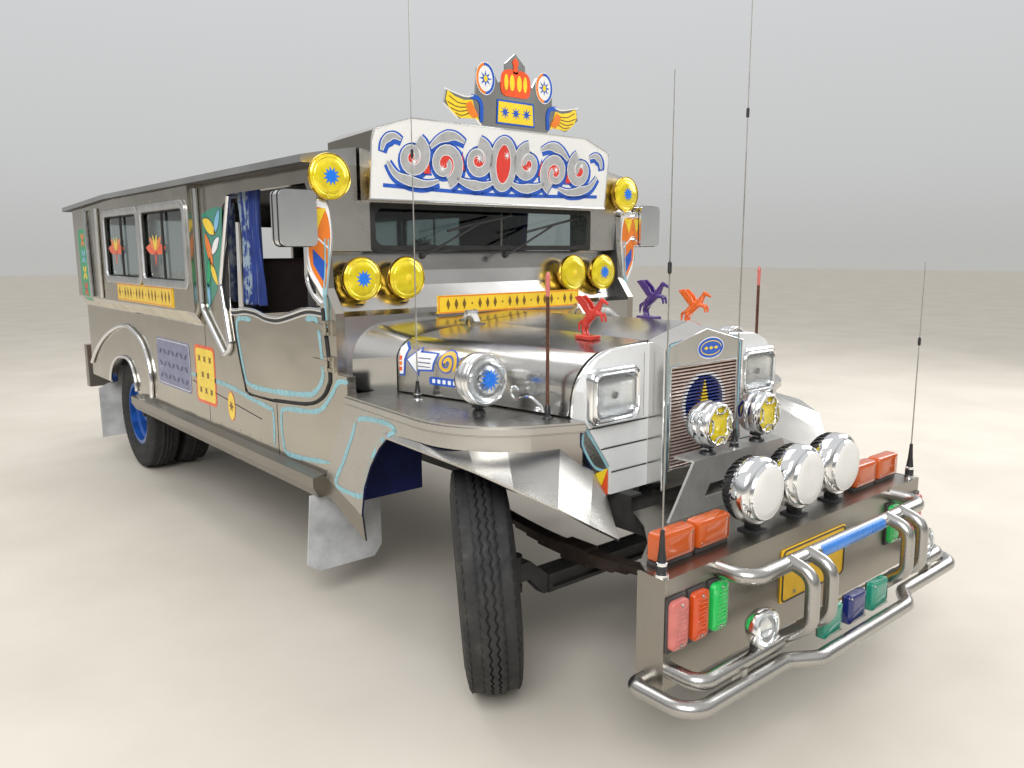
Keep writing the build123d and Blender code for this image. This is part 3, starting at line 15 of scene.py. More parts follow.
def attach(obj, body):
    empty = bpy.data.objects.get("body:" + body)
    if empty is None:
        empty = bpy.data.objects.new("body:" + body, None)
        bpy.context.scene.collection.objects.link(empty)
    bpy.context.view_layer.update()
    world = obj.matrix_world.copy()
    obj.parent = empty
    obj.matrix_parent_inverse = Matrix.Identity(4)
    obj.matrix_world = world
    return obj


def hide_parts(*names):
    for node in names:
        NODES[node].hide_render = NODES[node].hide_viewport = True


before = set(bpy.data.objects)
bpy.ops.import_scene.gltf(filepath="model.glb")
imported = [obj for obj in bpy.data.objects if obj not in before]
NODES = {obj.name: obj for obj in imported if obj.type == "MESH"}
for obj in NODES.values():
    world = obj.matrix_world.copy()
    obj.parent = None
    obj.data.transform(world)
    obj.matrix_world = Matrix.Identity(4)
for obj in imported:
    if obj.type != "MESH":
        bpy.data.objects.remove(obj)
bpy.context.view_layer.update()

BACK = -2.203
SIDES = (("right", -1), ("left", 1))

# Wheels and steering, as in the part
FRONT_AXLE_Y = 0.045
REAR_AXLE_Y = 4.08
TYRE_RADIUS = 0.4
KINGPIN_X = 0.69
SPINDLE_REACH = 0.1
CAMBER = math.radians(4.0)
LOCK = math.radians(35.0)
TREAD_HALF = 0.03
FRONT_HUB_Z = TYRE_RADIUS * math.cos(CAMBER) + TREAD_HALF * math.sin(CAMBER)
TWINS_X = (0.628 - 0.1125, 0.628 + 0.1125)

FORWARDS = (0, -1, 0)
BACKWARDS = (0, 1, 0)
UPWARDS = (0, 0, 1)


def added(name, data):
    """New object in the scene."""
    made = bpy.data.objects.new(name, data)
    bpy.context.collection.objects.link(made)
    return made


def turn_to(direction):
    """Turn that takes Z to a direction."""
    return Vector(direction).to_track_quat("Z", "Y").to_matrix()


# Material building
class Shading:
    """A node tree, with short ways to add noise, ramps, sums and mixes."""

    def __init__(self, owner, coords):
        owner.use_nodes = True
        self.tree = owner.node_tree
        self.coords = self.node("ShaderNodeTexCoord").outputs[coords]

    def node(self, kind, **values):
        made = self.tree.nodes.new(kind)
        for key, value in values.items():
            setattr(made, key, value)
        return made

    def link(self, source, target):
        self.tree.links.new(source, target)

    def noise(self, scale, detail=4.0, stretch=(1, 1, 1), roughness=0.55):
        """Noise over the coordinates, which are scaled per axis first."""
        mapping = self.node("ShaderNodeMapping")
        mapping.inputs["Scale"].default_value = stretch
        self.link(self.coords, mapping.inputs["Vector"])
        made = self.node("ShaderNodeTexNoise")
        for socket, value in (("Scale", scale), ("Detail", detail), ("Roughness", roughness)):
            made.inputs[socket].default_value = value
        self.link(mapping.outputs["Vector"], made.inputs["Vector"])
        return made.outputs["Fac"]

    def ramp(self, source, stops):
        """Colour or grey ramp: stops are (position, colour or grey)."""
        made = self.node("ShaderNodeValToRGB")
        elements = made.color_ramp.elements
        while len(elements) < len(stops):
            elements.new(0.5)
        for element, (position, value) in zip(elements, stops):
            element.position = position
            grey = isinstance(value, (int, float))
            element.color = (value, value, value, 1.0) if grey else (*value, 1.0)
        self.link(source, made.inputs["Fac"])
        return made.outputs["Color"]

    def along(self, axis):
        """One coordinate, in metres."""
        made = self.node("ShaderNodeSeparateXYZ")
        self.link(self.coords, made.inputs["Vector"])
        return made.outputs[axis]

    def maths(self, operation, *values):
        """A sum on sockets and plain numbers."""
        made = self.node("ShaderNodeMath", operation=operation)
        for socket, value in zip(made.inputs, values):
            if isinstance(value, (int, float)):
                socket.default_value = value
            else:
                self.link(value, socket)
        return made.outputs["Value"]

    def mixed(self, share, first, second):
        """Mix of two colours, each a socket or a plain colour."""
        made = self.node("ShaderNodeMix", data_type="RGBA")
        self.link(share, made.inputs["Factor"])
        for socket, value in ((made.inputs[6], first), (made.inputs[7], second)):
            if isinstance(value, tuple):
                socket.default_value = (*value, 1.0)
            else:
                self.link(value, socket)
        return made.outputs[2]


class Finish(Shading):
    """One node material; sockets names more values of its shader, with _ for a space."""

    def __init__(self, name, colour, metal=0.0, rough=0.5, **sockets):
        self.material = bpy.data.materials.new(name)
        super().__init__(self.material, "Object")
        self.shader = self.tree.nodes["Principled BSDF"].inputs
        values = {"Base Color": (*colour, 1.0), "Metallic": metal, "Roughness": rough}
        values.update({socket.replace("_", " "): value for socket, value in sockets.items()})
        for socket, value in values.items():
            self.shader[socket].default_value = value

    def colour(self, source):
        self.link(source, self.shader["Base Color"])

    def roughness(self, source):
        self.link(source, self.shader["Roughness"])

    def bump(self, source, height, strength=1.0):
        """Bump of a real height in metres; a second call adds to the first."""
        made = self.node("ShaderNodeBump")
        made.inputs["Strength"].default_value = strength
        made.inputs["Distance"].default_value = height
        self.link(source, made.inputs["Height"])
        before = self.shader["Normal"]
        if before.is_linked:
            self.link(before.links[0].from_socket, made.inputs["Normal"])
        self.link(made.outputs["Normal"], before)


def stainless(name, colour, rough, waves, grain, dust=0.0):
    """Sheet steel: slow waves from hand work, fine brushing, smears, and dust low down."""
    made = Finish(name, colour, metal=1.0, rough=rough[0])
    smears = made.noise(3.2, 5.0, (1, 0.6, 1.4))
    brushed = made.noise(14.0, 2.0, grain)
    level = made.maths("MULTIPLY_ADD", smears, rough[1] - rough[0], rough[0])
    made.roughness(made.maths("MULTIPLY_ADD", brushed, 0.05, level))
    tint = made.ramp(smears, [(0.3, tuple(0.86 * c for c in colour)), (0.7, colour)])
    if dust:
        low = made.maths("MAXIMUM", made.maths("MULTIPLY_ADD", made.along("Z"), -1.6, 0.85), 0.0)
        grime = made.maths("MULTIPLY", made.noise(9.0, 6.0), dust)
        tint = made.mixed(made.maths("MULTIPLY", low, grime), tint, (0.6, 0.49, 0.34))
    made.colour(tint)
    made.bump(made.noise(2.1, 2.0, (1, 1, 1.6)), waves)
    made.bump(brushed, 0.00005, 0.4)
    return made.material


def painted(name, colour, rough, variation, metal=0.0, scale=14.0, bump=0.0002, coat=0.0, **sockets):
    """Paint, plastic or rubber with slow colour change, smears in its gloss and a fine bump."""
    made = Finish(name, colour, metal=metal, rough=rough, Coat_Weight=coat, **sockets)
    dark, light = (tuple(min(1.0, c * (1.0 + way * variation)) for c in colour) for way in (-1, 1))
    made.colour(made.ramp(made.noise(scale, 5.0), [(0.32, dark), (0.68, light)]))
    gloss = made.noise(scale * 2.7, 4.0)
    made.roughness(made.ramp(gloss, [(0.25, max(0.02, rough - 0.08)), (0.75, min(1.0, rough + 0.1))]))
    if bump:
        made.bump(made.noise(scale * 9.0, 3.0), bump, 0.5)
    return made.material


def clear(name, colour, rough=0.03, ribs=None):
    """Clear or tinted glass, with fluting where ribs gives (axis, pitch)."""
    made = Finish(name, colour, rough=rough, Transmission_Weight=1.0, IOR=1.45)
    made.roughness(made.ramp(made.noise(20.0, 4.0), [(0.35, rough), (0.8, rough + 0.06)]))
    if ribs:
        axis, pitch = ribs
        wave = made.maths("SINE", made.maths("MULTIPLY", made.along(axis), 2 * math.pi / pitch))
        made.bump(wave, 0.0008, 0.6)
    else:
        made.bump(made.noise(60.0, 2.0), 0.0001, 0.3)
    return made.material


# Painted shade: the body and fender steel colours are set darker than the sheet's own tone, for the shaded
# body sides and fender flanks
BODY_STEEL = stainless("steel_body", (0.55, 0.52, 0.46), (0.06, 0.17), 0.008, (1, 1, 50), dust=0.6)
HOOD_STEEL = stainless("steel_hood", (0.6, 0.59, 0.57), (0.12, 0.26), 0.005, (30, 1, 1))
FENDER_STEEL = stainless("steel_fender", (0.58, 0.57, 0.54), (0.17, 0.33), 0.006, (1, 30, 1))
ROOF_STEEL = stainless("steel_roof", (0.62, 0.63, 0.64), (0.22, 0.4), 0.004, (40, 1, 1))
# Painted reflection: the bumper and sill steel colour is darkened and browned for the dark ground that the
# bumper mirrors
BUMPER_STEEL = stainless("steel_bumper", (0.35, 0.33, 0.295), (0.22, 0.38), 0.006, (1, 1, 40), dust=0.2)
BRACKET_STEEL = painted("bracket_steel", (0.47, 0.47, 0.45), 0.38, 0.12, metal=0.6, bump=0.0)
TUBE_STEEL = stainless("steel_tube", (0.5, 0.49, 0.47), (0.16, 0.34), 0.0012, (1, 60, 1))
SHELL_STEEL = stainless("steel_shell", (0.75, 0.74, 0.71), (0.09, 0.22), 0.002, (1, 1, 40))
FASCIA_STEEL = painted("fascia_silver", (0.72, 0.73, 0.73), 0.42, 0.03, bump=0.0)
CHROME = painted("chrome", (0.86, 0.87, 0.88), 0.07, 0.04, metal=1.0, scale=9.0, bump=0.0)
ALUMINIUM = painted("aluminium", (0.66, 0.67, 0.68), 0.34, 0.08, metal=1.0, scale=16.0)
CHASSIS_BLACK = painted("chassis_black", (0.028, 0.027, 0.026), 0.62, 0.4, scale=10.0, bump=0.0008)
ENGINE_METAL = painted("engine_metal", (0.16, 0.17, 0.18), 0.55, 0.25, metal=0.6)
FLOOR_PAINT = painted("floor_paint", (0.2, 0.21, 0.22), 0.55, 0.2)
LEAF_STEEL = painted("leaf_steel", (0.07, 0.05, 0.04), 0.7, 0.4, metal=0.4)
EXHAUST_RUST = painted("exhaust_rust", (0.2, 0.11, 0.07), 0.8, 0.5, scale=22.0, bump=0.0012)
CABIN_BLACK = painted("cabin_black", (0.035, 0.035, 0.038), 0.5, 0.2)
WHITE_PAINT = painted("white_paint", (0.82, 0.82, 0.8), 0.4, 0.02, bump=0.0)
RIM_BLUE = painted("rim_blue", (0.012, 0.085, 0.36), 0.33, 0.3, coat=0.3)
NUT_METAL = painted("nut_metal", (0.42, 0.41, 0.38), 0.4, 0.2, metal=1.0)
BLACK_PLASTIC = painted("black_plastic", (0.022, 0.022, 0.024), 0.38, 0.3)
# Black rubber; also used as painted shade behind the cab opening
BLACK_RUBBER_AND_SHADE = painted("black_rubber_and_shade", (0.018, 0.018, 0.018), 0.7, 0.3, bump=0.0004)
FLAP_RUBBER = painted("flap_rubber", (0.5, 0.51, 0.52), 0.6, 0.25, scale=7.0, bump=0.001)


def slat_paint():
    """Pale copper slats with an oval painted across them: blue, a white ring and a yellow diamond."""
    made = Finish("copper_slat", (0.66, 0.42, 0.34), metal=0.9, rough=0.28)

    def away(axis, middle, half):
        """Distance from the oval's middle, as a share of its half size."""
        offset = made.maths("SUBTRACT", made.along(axis), middle)
        return made.maths("ABSOLUTE", made.maths("DIVIDE", offset, half))

    across, rise = away("X", 0.015, 0.13), away("Z", 0.985, 0.118)
    reach = made.maths("ADD", made.maths("MULTIPLY", across, across), made.maths("MULTIPLY", rise, rise))
    slats = made.ramp(made.noise(22.0, 5.0), [(0.3, (0.72, 0.56, 0.5)), (0.7, (0.86, 0.72, 0.66))])
    ringed = made.mixed(made.maths("LESS_THAN", reach, 1.0), slats, (0.86, 0.87, 0.88))
    blue = made.mixed(made.maths("LESS_THAN", reach, 0.76), ringed, (0.012, 0.03, 0.2))
    diamond = made.maths("LESS_THAN", made.maths("ADD", made.maths("MULTIPLY", across, 4.2), rise), 0.8)
    made.colour(made.mixed(diamond, blue, (0.9, 0.66, 0.04)))
    plain = made.maths("GREATER_THAN", reach, 1.0)
    made.link(made.maths("MULTIPLY", plain, 0.55), made.shader["Metallic"])
    made.bump(made.noise(130.0, 3.0), 0.0002, 0.5)
    return made.material


COPPER = slat_paint()
CORE_BLACK = painted("core_black", (0.02, 0.018, 0.018), 0.7, 0.3, bump=0.001)
AMBER_BOARD = painted("board_yellow", (0.93, 0.62, 0.03), 0.32, 0.06, coat=0.3)
ORANGE_PAINT = painted("paint_orange", (0.86, 0.22, 0.02), 0.3, 0.08, coat=0.3)
YELLOW_PAINT = painted("paint_yellow", (0.95, 0.68, 0.03), 0.3, 0.06, coat=0.3)
RED_PAINT = painted("paint_red", (0.72, 0.045, 0.03), 0.3, 0.08, coat=0.3)
BLUE_PAINT = painted("paint_blue", (0.015, 0.1, 0.52), 0.3, 0.08, coat=0.3)
SKY_PAINT = painted("paint_sky", (0.22, 0.52, 0.74), 0.3, 0.08, coat=0.3)
STRIPE_PAINT = painted("pinstripe_blue", (0.26, 0.5, 0.56), 0.28, 0.08)
GREY_PAINT = painted("paint_grey", (0.22, 0.23, 0.36), 0.34, 0.12)
NAVY_PAINT = painted("paint_navy", (0.014, 0.02, 0.13), 0.3, 0.1, coat=0.3)
GREEN_PAINT = painted("paint_green", (0.02, 0.36, 0.16), 0.3, 0.08)
AMBER_LENS = painted("amber_lens", (0.66, 0.11, 0.012), 0.16, 0.05, scale=30.0, coat=0.5,
                     Transmission_Weight=0.15)
RED_LENS = painted("red_lens", (0.72, 0.085, 0.012), 0.16, 0.05, scale=30.0, coat=0.5,
                   Transmission_Weight=0.15)
GREEN_LENS = painted("green_lens", (0.02, 0.62, 0.12), 0.16, 0.05, scale=30.0, coat=0.5,
                     Transmission_Weight=0.15)
CLEAR_GLASS = clear("clear_glass", (0.93, 0.96, 0.96))
WINDOW_GLASS = clear("window_glass", (0.36, 0.43, 0.43), rough=0.02)
SILVER_PAINT = painted("paint_silver", (0.55, 0.56, 0.57), 0.34, 0.1, metal=0.5, scale=24.0)
SPARK_WHITE = painted("paint_white", (0.9, 0.91, 0.92), 0.3, 0.03)
RED_ORANGE = painted("paint_red_orange", (0.86, 0.1, 0.02), 0.3, 0.08, coat=0.3)
BROWN_PAINT = painted("paint_brown", (0.2, 0.1, 0.02), 0.4, 0.1)
STAR_BLUE = painted("star_blue", (0.01, 0.19, 0.8), 0.25, 0.06, coat=0.4)
GOLD_SHELL = painted("gold_shell", (0.8, 0.52, 0.06), 0.16, 0.1, metal=1.0)
YELLOW_DOME = painted("yellow_dome", (0.95, 0.72, 0.008), 0.14, 0.16, metal=0.35, scale=26.0, bump=0.0,
                      coat=1.0)
MIRROR_BOWL = painted("mirror_bowl", (0.94, 0.95, 0.96), 0.14, 0.02, metal=0.8, bump=0.0006)
COVER_WHITE = painted("cover_white", (0.8, 0.79, 0.76), 0.42, 0.04, scale=9.0)
SEAT_VINYL = painted("seat_vinyl", (0.03, 0.018, 0.018), 0.5, 0.15, scale=20.0, bump=0.0008)
# Dark seams and lines; also painted shade in the door-top groove
SEAM_AND_SHADE_DARK = painted("seam_and_shade_dark", (0.03, 0.028, 0.026), 0.55, 0.3)
CREAM_PAINT = painted("ledge_cream", (0.7, 0.64, 0.5), 0.42, 0.12, scale=6.0)
GOLD_PAINT = painted("paint_gold", (0.74, 0.46, 0.04), 0.3, 0.12, coat=0.3)
FIGURE_RED = painted("figure_red", (0.52, 0.03, 0.016), 0.22, 0.15, coat=0.5)
FIGURE_ORANGE = painted("figure_orange", (0.74, 0.13, 0.015), 0.24, 0.15, coat=0.5)
PURPLE_PAINT = painted("paint_purple", (0.055, 0.018, 0.16), 0.22, 0.12, coat=0.5)
ARCH_BLUE = painted("arch_blue", (0.006, 0.012, 0.09), 0.5, 0.35)
# Near-black sheet inside the cabin walls and roof: painted shade
CABIN_PAINTED_SHADE = painted("cabin_painted_shade", (0.05, 0.05, 0.052), 0.6, 0.25)
FLUTED_GLASS = clear("fluted_glass", (0.92, 0.95, 0.95), rough=0.06, ribs=("X", 0.0065))
FOG_YELLOW = painted("fog_yellow", (0.93, 0.72, 0.02), 0.1, 0.1, scale=40.0, coat=0.6)
PINK_LENS = painted("pink_lens", (0.58, 0.16, 0.14), 0.12, 0.1, scale=30.0, coat=0.5, Subsurface_Weight=0.1)
SEA_LENS = painted("sea_lens", (0.015, 0.26, 0.17), 0.14, 0.08, scale=30.0, coat=0.5)
NAVY_LENS = painted("navy_lens", (0.012, 0.02, 0.14), 0.14, 0.08, scale=30.0, coat=0.5)
BASE_PLASTIC = painted("base_plastic", (0.05, 0.045, 0.045), 0.45, 0.2)
ROD_COPPER = painted("rod_brown", (0.13, 0.06, 0.04), 0.28, 0.25, metal=0.7)
BADGE_BLUE = painted("badge_blue", (0.03, 0.2, 0.62), 0.28, 0.15, scale=9.0, coat=0.4)


def curtain_cloth():
    """Blue woven cloth, worn pale in patches along its rear edge."""
    made = Finish("curtain_cloth", (0.02, 0.06, 0.34), rough=0.85, Sheen_Weight=0.3)
    worn = made.ramp(made.noise(26.0, 6.0, (1, 1, 0.6)), [(0.47, 0.0), (0.56, 1.0)])
    rear = made.maths("GREATER_THAN", made.along("Y"), 1.85 + BACK)
    shade = made.ramp(made.noise(7.0, 4.0), [(0.3, (0.008, 0.025, 0.15)), (0.7, (0.018, 0.05, 0.27))])
    made.colour(made.mixed(made.maths("MULTIPLY", worn, rear), shade, (0.3, 0.38, 0.46)))
    threads = [made.maths("SINE", made.maths("MULTIPLY", made.along(axis), 3600.0)) for axis in "YZ"]
    made.bump(made.maths("ADD", *threads), 0.0003, 0.5)
    return made.material


CURTAIN_CLOTH = curtain_cloth()
PLATE_YELLOW = painted("plate_yellow", (0.95, 0.56, 0.02), 0.4, 0.08)


# The finish of each carried-over solid
NODE_FINISHES = (
    (CHASSIS_BLACK, "frame_rails front_axle rear_axle fuel_tank knuckle_right knuckle_left tie_rod"),
    (ENGINE_METAL, "engine_block"),
    (LEAF_STEEL, "leaf_springs"),
    (EXHAUST_RUST, "exhaust_pipe"),
    (FLOOR_PAINT, "floor_pan bench_frames"),
    (BODY_STEEL, "body_side_right body_side_left door_right door_left rear_wall headboard"),
    (FENDER_STEEL, "fender_right fender_left windshield_frame"),
    (RIM_BLUE, "rim_front_right rim_front_left rims_rear_right rims_rear_left"),
    (ROOF_STEEL, "roof_panel"),
    (HOOD_STEEL, "cowl_panel hood"),
    (WINDOW_GLASS, "window_glass"),
    (SHELL_STEEL, "crest radiator_shell"),
    (FASCIA_STEEL, "front_fascia"),
    (COPPER, "grille_slats"),
    (CORE_BLACK, "radiator_core tyre_front_right tyre_front_left tyres_rear_right tyres_rear_left"),
    (CHROME, "headlamps driving_lamps cab_lamps mirrors side_trim"),
    (BUMPER_STEEL, "front_bumper rear_bumper sill_rails"),
    (TUBE_STEEL, "bull_bar"),
    (BRACKET_STEEL, "fog_lamps"),
    (AMBER_LENS, "marker_lamps"),
    (BLACK_PLASTIC, "aerials"),
    (FLAP_RUBBER, "mud_flaps"),
    (CABIN_BLACK, "cab_seat_base dashboard"),
    (SEAT_VINYL, "cab_seat benches"),
    (AMBER_BOARD, "route_boards"),
    (PLATE_YELLOW, "number_plate"),
    (BLUE_PAINT, "curtains"),
    (RED_PAINT, "hood_figures"),
)
for finish, names in NODE_FINISHES:
    for name in names.split():
        for place in NODES[name].material_slots:
            place.material = finish


# Floor, sky, lamps and camera
PALE_SKY = [(0.0, (0.66, 0.66, 0.64)), (0.1, (0.76, 0.77, 0.77)), (0.4, (0.92, 0.93, 0.95))]
GROVE_SKY = [(0.02, (0.63, 0.62, 0.59)), (0.12, (0.34, 0.34, 0.33)), (0.22, (0.37, 0.37, 0.36)),
             (0.36, (0.76, 0.77, 0.77)), (0.52, (1.0, 1.0, 1.0))]
PALE_WAY = (0.646, 0.763, 0.0)
SKY_STRENGTH = 0.75
FLOOR_REACH = 60.0
# Name, place, aim, size and power
LAMPS = (("key", (-6.0, -7.0, 6.5), (0, -1.2, 0.9), 5.0, 620.0),
         ("fill", (7.0, -3.0, 5.0), (0, 0, 0.9), 5.0, 260.0),
         ("top", (0.0, 3.0, 7.5), (0, 1.0, 1.0), 6.0, 260.0))
CAMERA_PLACE = (-2.4723, -2.0609 + BACK, 1.55)
CAMERA_TURNS = (40.242, 9.354, -0.242)
CAMERA_LENS = 28.48
SENSOR_WIDTH = 36.0


def make_floor():
    mesh = bpy.data.meshes.new("floor")
    corners = [(FLOOR_REACH * u, FLOOR_REACH * v, 0) for u, v in ((-1, -1), (1, -1), (1, 1), (-1, 1))]
    mesh.from_pydata(corners, [], [(0, 1, 2, 3)])
    concrete = Finish("floor_pale", (0.68, 0.63, 0.55), rough=0.8)
    spots = concrete.noise(1.2, 6.0)
    concrete.colour(concrete.ramp(spots, [(0.3, (0.63, 0.58, 0.5)), (0.7, (0.71, 0.66, 0.58))]))
    concrete.bump(concrete.noise(40.0, 5.0), 0.001, 0.5)
    mesh.materials.append(concrete.material)
    added("floor", mesh)


def make_sky():
    """Pale light all round, with a darker low band on the near side for the steel to mirror."""
    world = bpy.data.worlds.new("studio")
    bpy.context.scene.world = world
    sky = Shading(world, "Generated")
    rise = sky.along("Z")
    uneven = sky.maths("MULTIPLY_ADD", sky.noise(2.5, 2.0, roughness=0.5), 0.05, rise)
    facing = sky.node("ShaderNodeVectorMath", operation="DOT_PRODUCT")
    facing.inputs[1].default_value = PALE_WAY
    sky.link(sky.coords, facing.inputs[0])
    share = sky.ramp(facing.outputs["Value"], [(0.62, 0.0), (0.8, 1.0)])
    light = sky.tree.nodes["Background"].inputs
    sky.link(sky.mixed(share, sky.ramp(uneven, GROVE_SKY), sky.ramp(rise, PALE_SKY)), light["Color"])
    light["Strength"].default_value = SKY_STRENGTH


def make_lamps():
    for name, place, aim, size, power in LAMPS:
        data = bpy.data.lights.new(name, "AREA")
        data.size = size
        data.energy = power
        lamp = added(name, data)
        lamp.location = place
        lamp.rotation_mode = "QUATERNION"
        lamp.rotation_quaternion = (Vector(place) - Vector(aim)).to_track_quat("Z", "Y")


def make_camera():
    """Camera where the photograph was taken from; its turns are yaw, pitch and roll in degrees."""
    yaw, pitch, roll = (math.radians(angle) for angle in CAMERA_TURNS)
    ahead = Vector((math.sin(yaw) * math.cos(pitch), math.cos(yaw) * math.cos(pitch), -math.sin(pitch)))
    right = Vector((math.cos(yaw), -math.sin(yaw), 0.0))
    up = right.cross(ahead)
    tilted_right = right * math.cos(roll) + up * math.sin(roll)
    tilted_up = up * math.cos(roll) - right * math.sin(roll)
    data = bpy.data.cameras.new("camera")
    data.lens = CAMERA_LENS
    data.sensor_width = SENSOR_WIDTH
    camera = added("camera", data)
    turn = Matrix((tilted_right, tilted_up, -ahead)).transposed().to_4x4()
    camera.matrix_world = Matrix.Translation(CAMERA_PLACE) @ turn
    bpy.context.scene.camera = camera


# Mesh building
def put(name, points, faces, finish, body="chassis", smooth=True, slot=None, replaces=()):
    """Makes one piece from points given from the front axle line, and lets it ride on a body."""
    mesh = bpy.data.meshes.new(name)
    mesh.from_pydata([(x, y + BACK, z) for x, y, z in points], [], faces)
    merged = bmesh.new()
    merged.from_mesh(mesh)
    bmesh.ops.remove_doubles(merged, verts=merged.verts[:], dist=1e-6)
    merged.to_mesh(mesh)
    merged.free()
    mesh.materials.append(finish)
    made = added(name, mesh)
    mesh.update()
    if smooth:
        for face in mesh.polygons:
            face.use_smooth = True
        mesh.set_sharp_from_angle(angle=math.radians(38))
    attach(made, body)
    if replaces:
        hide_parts(*replaces)
    return made


class Form:
    """Points and faces that several shapes add to, for one piece."""

    def __init__(self):
        self.points = []
        self.faces = []

    def add(self, points, faces):
        first = len(self.points)
        self.points.extend(Vector(point) for point in points)
        self.faces.extend(tuple(first + index for index in face) for face in faces)
        return self

    def grid(self, rows, round_rows=False, round_columns=False):
        """Quads between rows of points of equal length."""
        wide, tall = len(rows[0]), len(rows)
        faces = []
        for i in range(tall if round_rows else tall - 1):
            here, below = i * wide, (i + 1) % tall * wide
            for j in range(wide if round_columns else wide - 1):
                after = (j + 1) % wide
                faces.append((here + j, here + after, below + after, below + j))
        return self.add([point for row in rows for point in row], faces)

    def lathe(self, profile, centre, segments, axis=FORWARDS):
        """Turned shape: profile of (radius, distance along the axis)."""
        turn = turn_to(axis)
        poled = [(0.0 if r < 0.0003 else r, w) for r, w in profile]
        rows = []
        for step in range(segments):
            angle = 2 * math.pi * step / segments
            rows.append([Vector(centre) + turn @ Vector((r * math.cos(angle), r * math.sin(angle), w))
                         for r, w in poled])
        return self.grid(rows, round_rows=True)

    def tube(self, path, radius, segments=12, closed=False):
        """Round tube along points, with its ends shut; radius is one number or one for each point."""
        path = [Vector(point) for point in path]
        rows = []
        count = len(path)
        for index, point in enumerate(path):
            before = path[(index - 1) % count] if closed or index else point
            after = path[(index + 1) % count] if closed or index < count - 1 else point
            ahead = (after - before).normalized()
            if index == 0:
                side = ahead.orthogonal().normalized()
            else:
                side = (side - ahead * side.dot(ahead)).normalized()
            up = ahead.cross(side)
            width = radius[index] if isinstance(radius, (list, tuple)) else radius
            rows.append([point + side * (width * math.cos(a)) + up * (width * math.sin(a))
                         for a in (2 * math.pi * k / segments for k in range(segments))])
        first = len(self.points)
        self.grid(rows, round_rows=closed, round_columns=True)
        if not closed:
            last = first + (count - 1) * segments
            self.faces.append(tuple(first + k for k in reversed(range(segments))))
            self.faces.append(tuple(last + k for k in range(segments)))
        return self

    def box(self, x, half, ys, zs, bevel, segments=2):
        """Box with rounded edges, as wide to each side of x as half."""
        shape = bmesh.new()
        bmesh.ops.create_cube(shape, size=1.0)
        for vertex in shape.verts:
            for axis, (low, high) in enumerate(((x - half, x + half), ys, zs)):
                vertex.co[axis] = (low + high) / 2.0 + vertex.co[axis] * (high - low)
        bmesh.ops.bevel(shape, geom=shape.edges, offset=bevel, segments=segments, profile=0.5,
                        affect="EDGES")
        return self.taken(shape)

    def taken(self, shape):
        """Adds the faces of a bmesh, and frees it."""
        shape.verts.ensure_lookup_table()
        self.add([v.co.copy() for v in shape.verts], [[v.index for v in f.verts] for f in shape.faces])
        shape.free()
        return self

    def joined(self, other):
        return self.add(other.points, other.faces)

    def put(self, name, finish, body="chassis", **options):
        return put(name, self.points, self.faces, finish, body, **options)


# Tyres: half of the section as (radius, distance from the middle), and ribs as (from, to)
TYRE_SECTION = ((0.2045, 0.062), (0.2055, 0.072), (0.213, 0.0755), (0.222, 0.0775), (0.229, 0.08),
                (0.236, 0.0885), (0.245, 0.0935), (0.2475, 0.095), (0.25, 0.0935), (0.268, 0.0975),
                (0.29, 0.099), (0.3015, 0.099), (0.303, 0.1003), (0.3055, 0.1003), (0.307, 0.0988),
                (0.33, 0.097), (0.352, 0.0935), (0.366, 0.09), (0.377, 0.086), (0.384, 0.08),
                (0.3868, 0.074), (0.3875, 0.06), (0.3882, 0.03))
RIBS = ((-0.0655, -0.0445), (-0.0375, -0.0165), (-0.0095, 0.0095), (0.0165, 0.0375), (0.0445, 0.0655))
TEETH = 60
ZIGZAG = 0.0042
GROOVE = 0.01
BLOCK_SLOPE = 0.006


def tyre_height(offset):
    """Radius of the crown at an offset from the tyre's middle."""
    return TYRE_RADIUS - 0.0006 - 0.7 * max(0.0, abs(offset) - TREAD_HALF) ** 2 / 0.01


def tyre_form(centre, turn):
    """Tyre with rounded walls, zigzag ribs and shoulder blocks; turn takes its axle from Z."""
    section = [*TYRE_SECTION, *((r, -w) for r, w in reversed(TYRE_SECTION))]
    shell = Form().lathe(section, (0, 0, 0), 80, UPWARDS)
    for low, high in RIBS:
        across = ((high, GROOVE), (high, 0.0008), (high - 0.0012, 0.0), ((low + high) / 2, 0.0),
                  (low + 0.0012, 0.0), (low, 0.0008), (low, GROOVE))
        rows = []
        for step in range(2 * TEETH):
            angle = math.pi * step / TEETH
            shift = ZIGZAG if step % 2 else -ZIGZAG
            rib = [(tyre_height(offset + shift) - depth, offset + shift) for offset, depth in across]
            rows.append([(reach * math.cos(angle), reach * math.sin(angle), place) for reach, place in rib])
        shell.grid(rows, round_rows=True)
    for side in (-1, 1):
        for step in range(TEETH):
            start, end = (2 * math.pi * (step + share) / TEETH for share in (0.08, 0.78))
            rows = []
            for angle, lift in ((start, BLOCK_SLOPE), (start + 0.012, 0.0), (end - 0.012, 0.0),
                                (end, BLOCK_SLOPE)):
                block = ((0.0705, 0.386), (0.071, tyre_height(0.071) - lift), (0.079, 0.391 - lift),
                         (0.0865, 0.38 - lift), (0.0905, 0.37 - lift), (0.0885, 0.364))
                rows.append([(reach * math.cos(angle), reach * math.sin(angle), side * offset)
                             for offset, reach in (reversed(block) if side > 0 else block)])
            shell.grid(rows)
    return Form().add([centre + turn @ point for point in shell.points], shell.faces)


def rubber():
    made = Finish("tyre_rubber", (0.03, 0.03, 0.031), rough=0.72)
    dust = made.noise(9.0, 6.0)
    made.colour(made.ramp(dust, [(0.35, (0.014, 0.014, 0.015)), (0.62, (0.028, 0.027, 0.026)),
                                 (0.82, (0.08, 0.07, 0.058))]))
    made.roughness(made.ramp(made.noise(30.0, 4.0), [(0.3, 0.6), (0.7, 0.85)]))
    made.bump(made.noise(180.0, 3.0), 0.0006, 0.6)
    return made.material


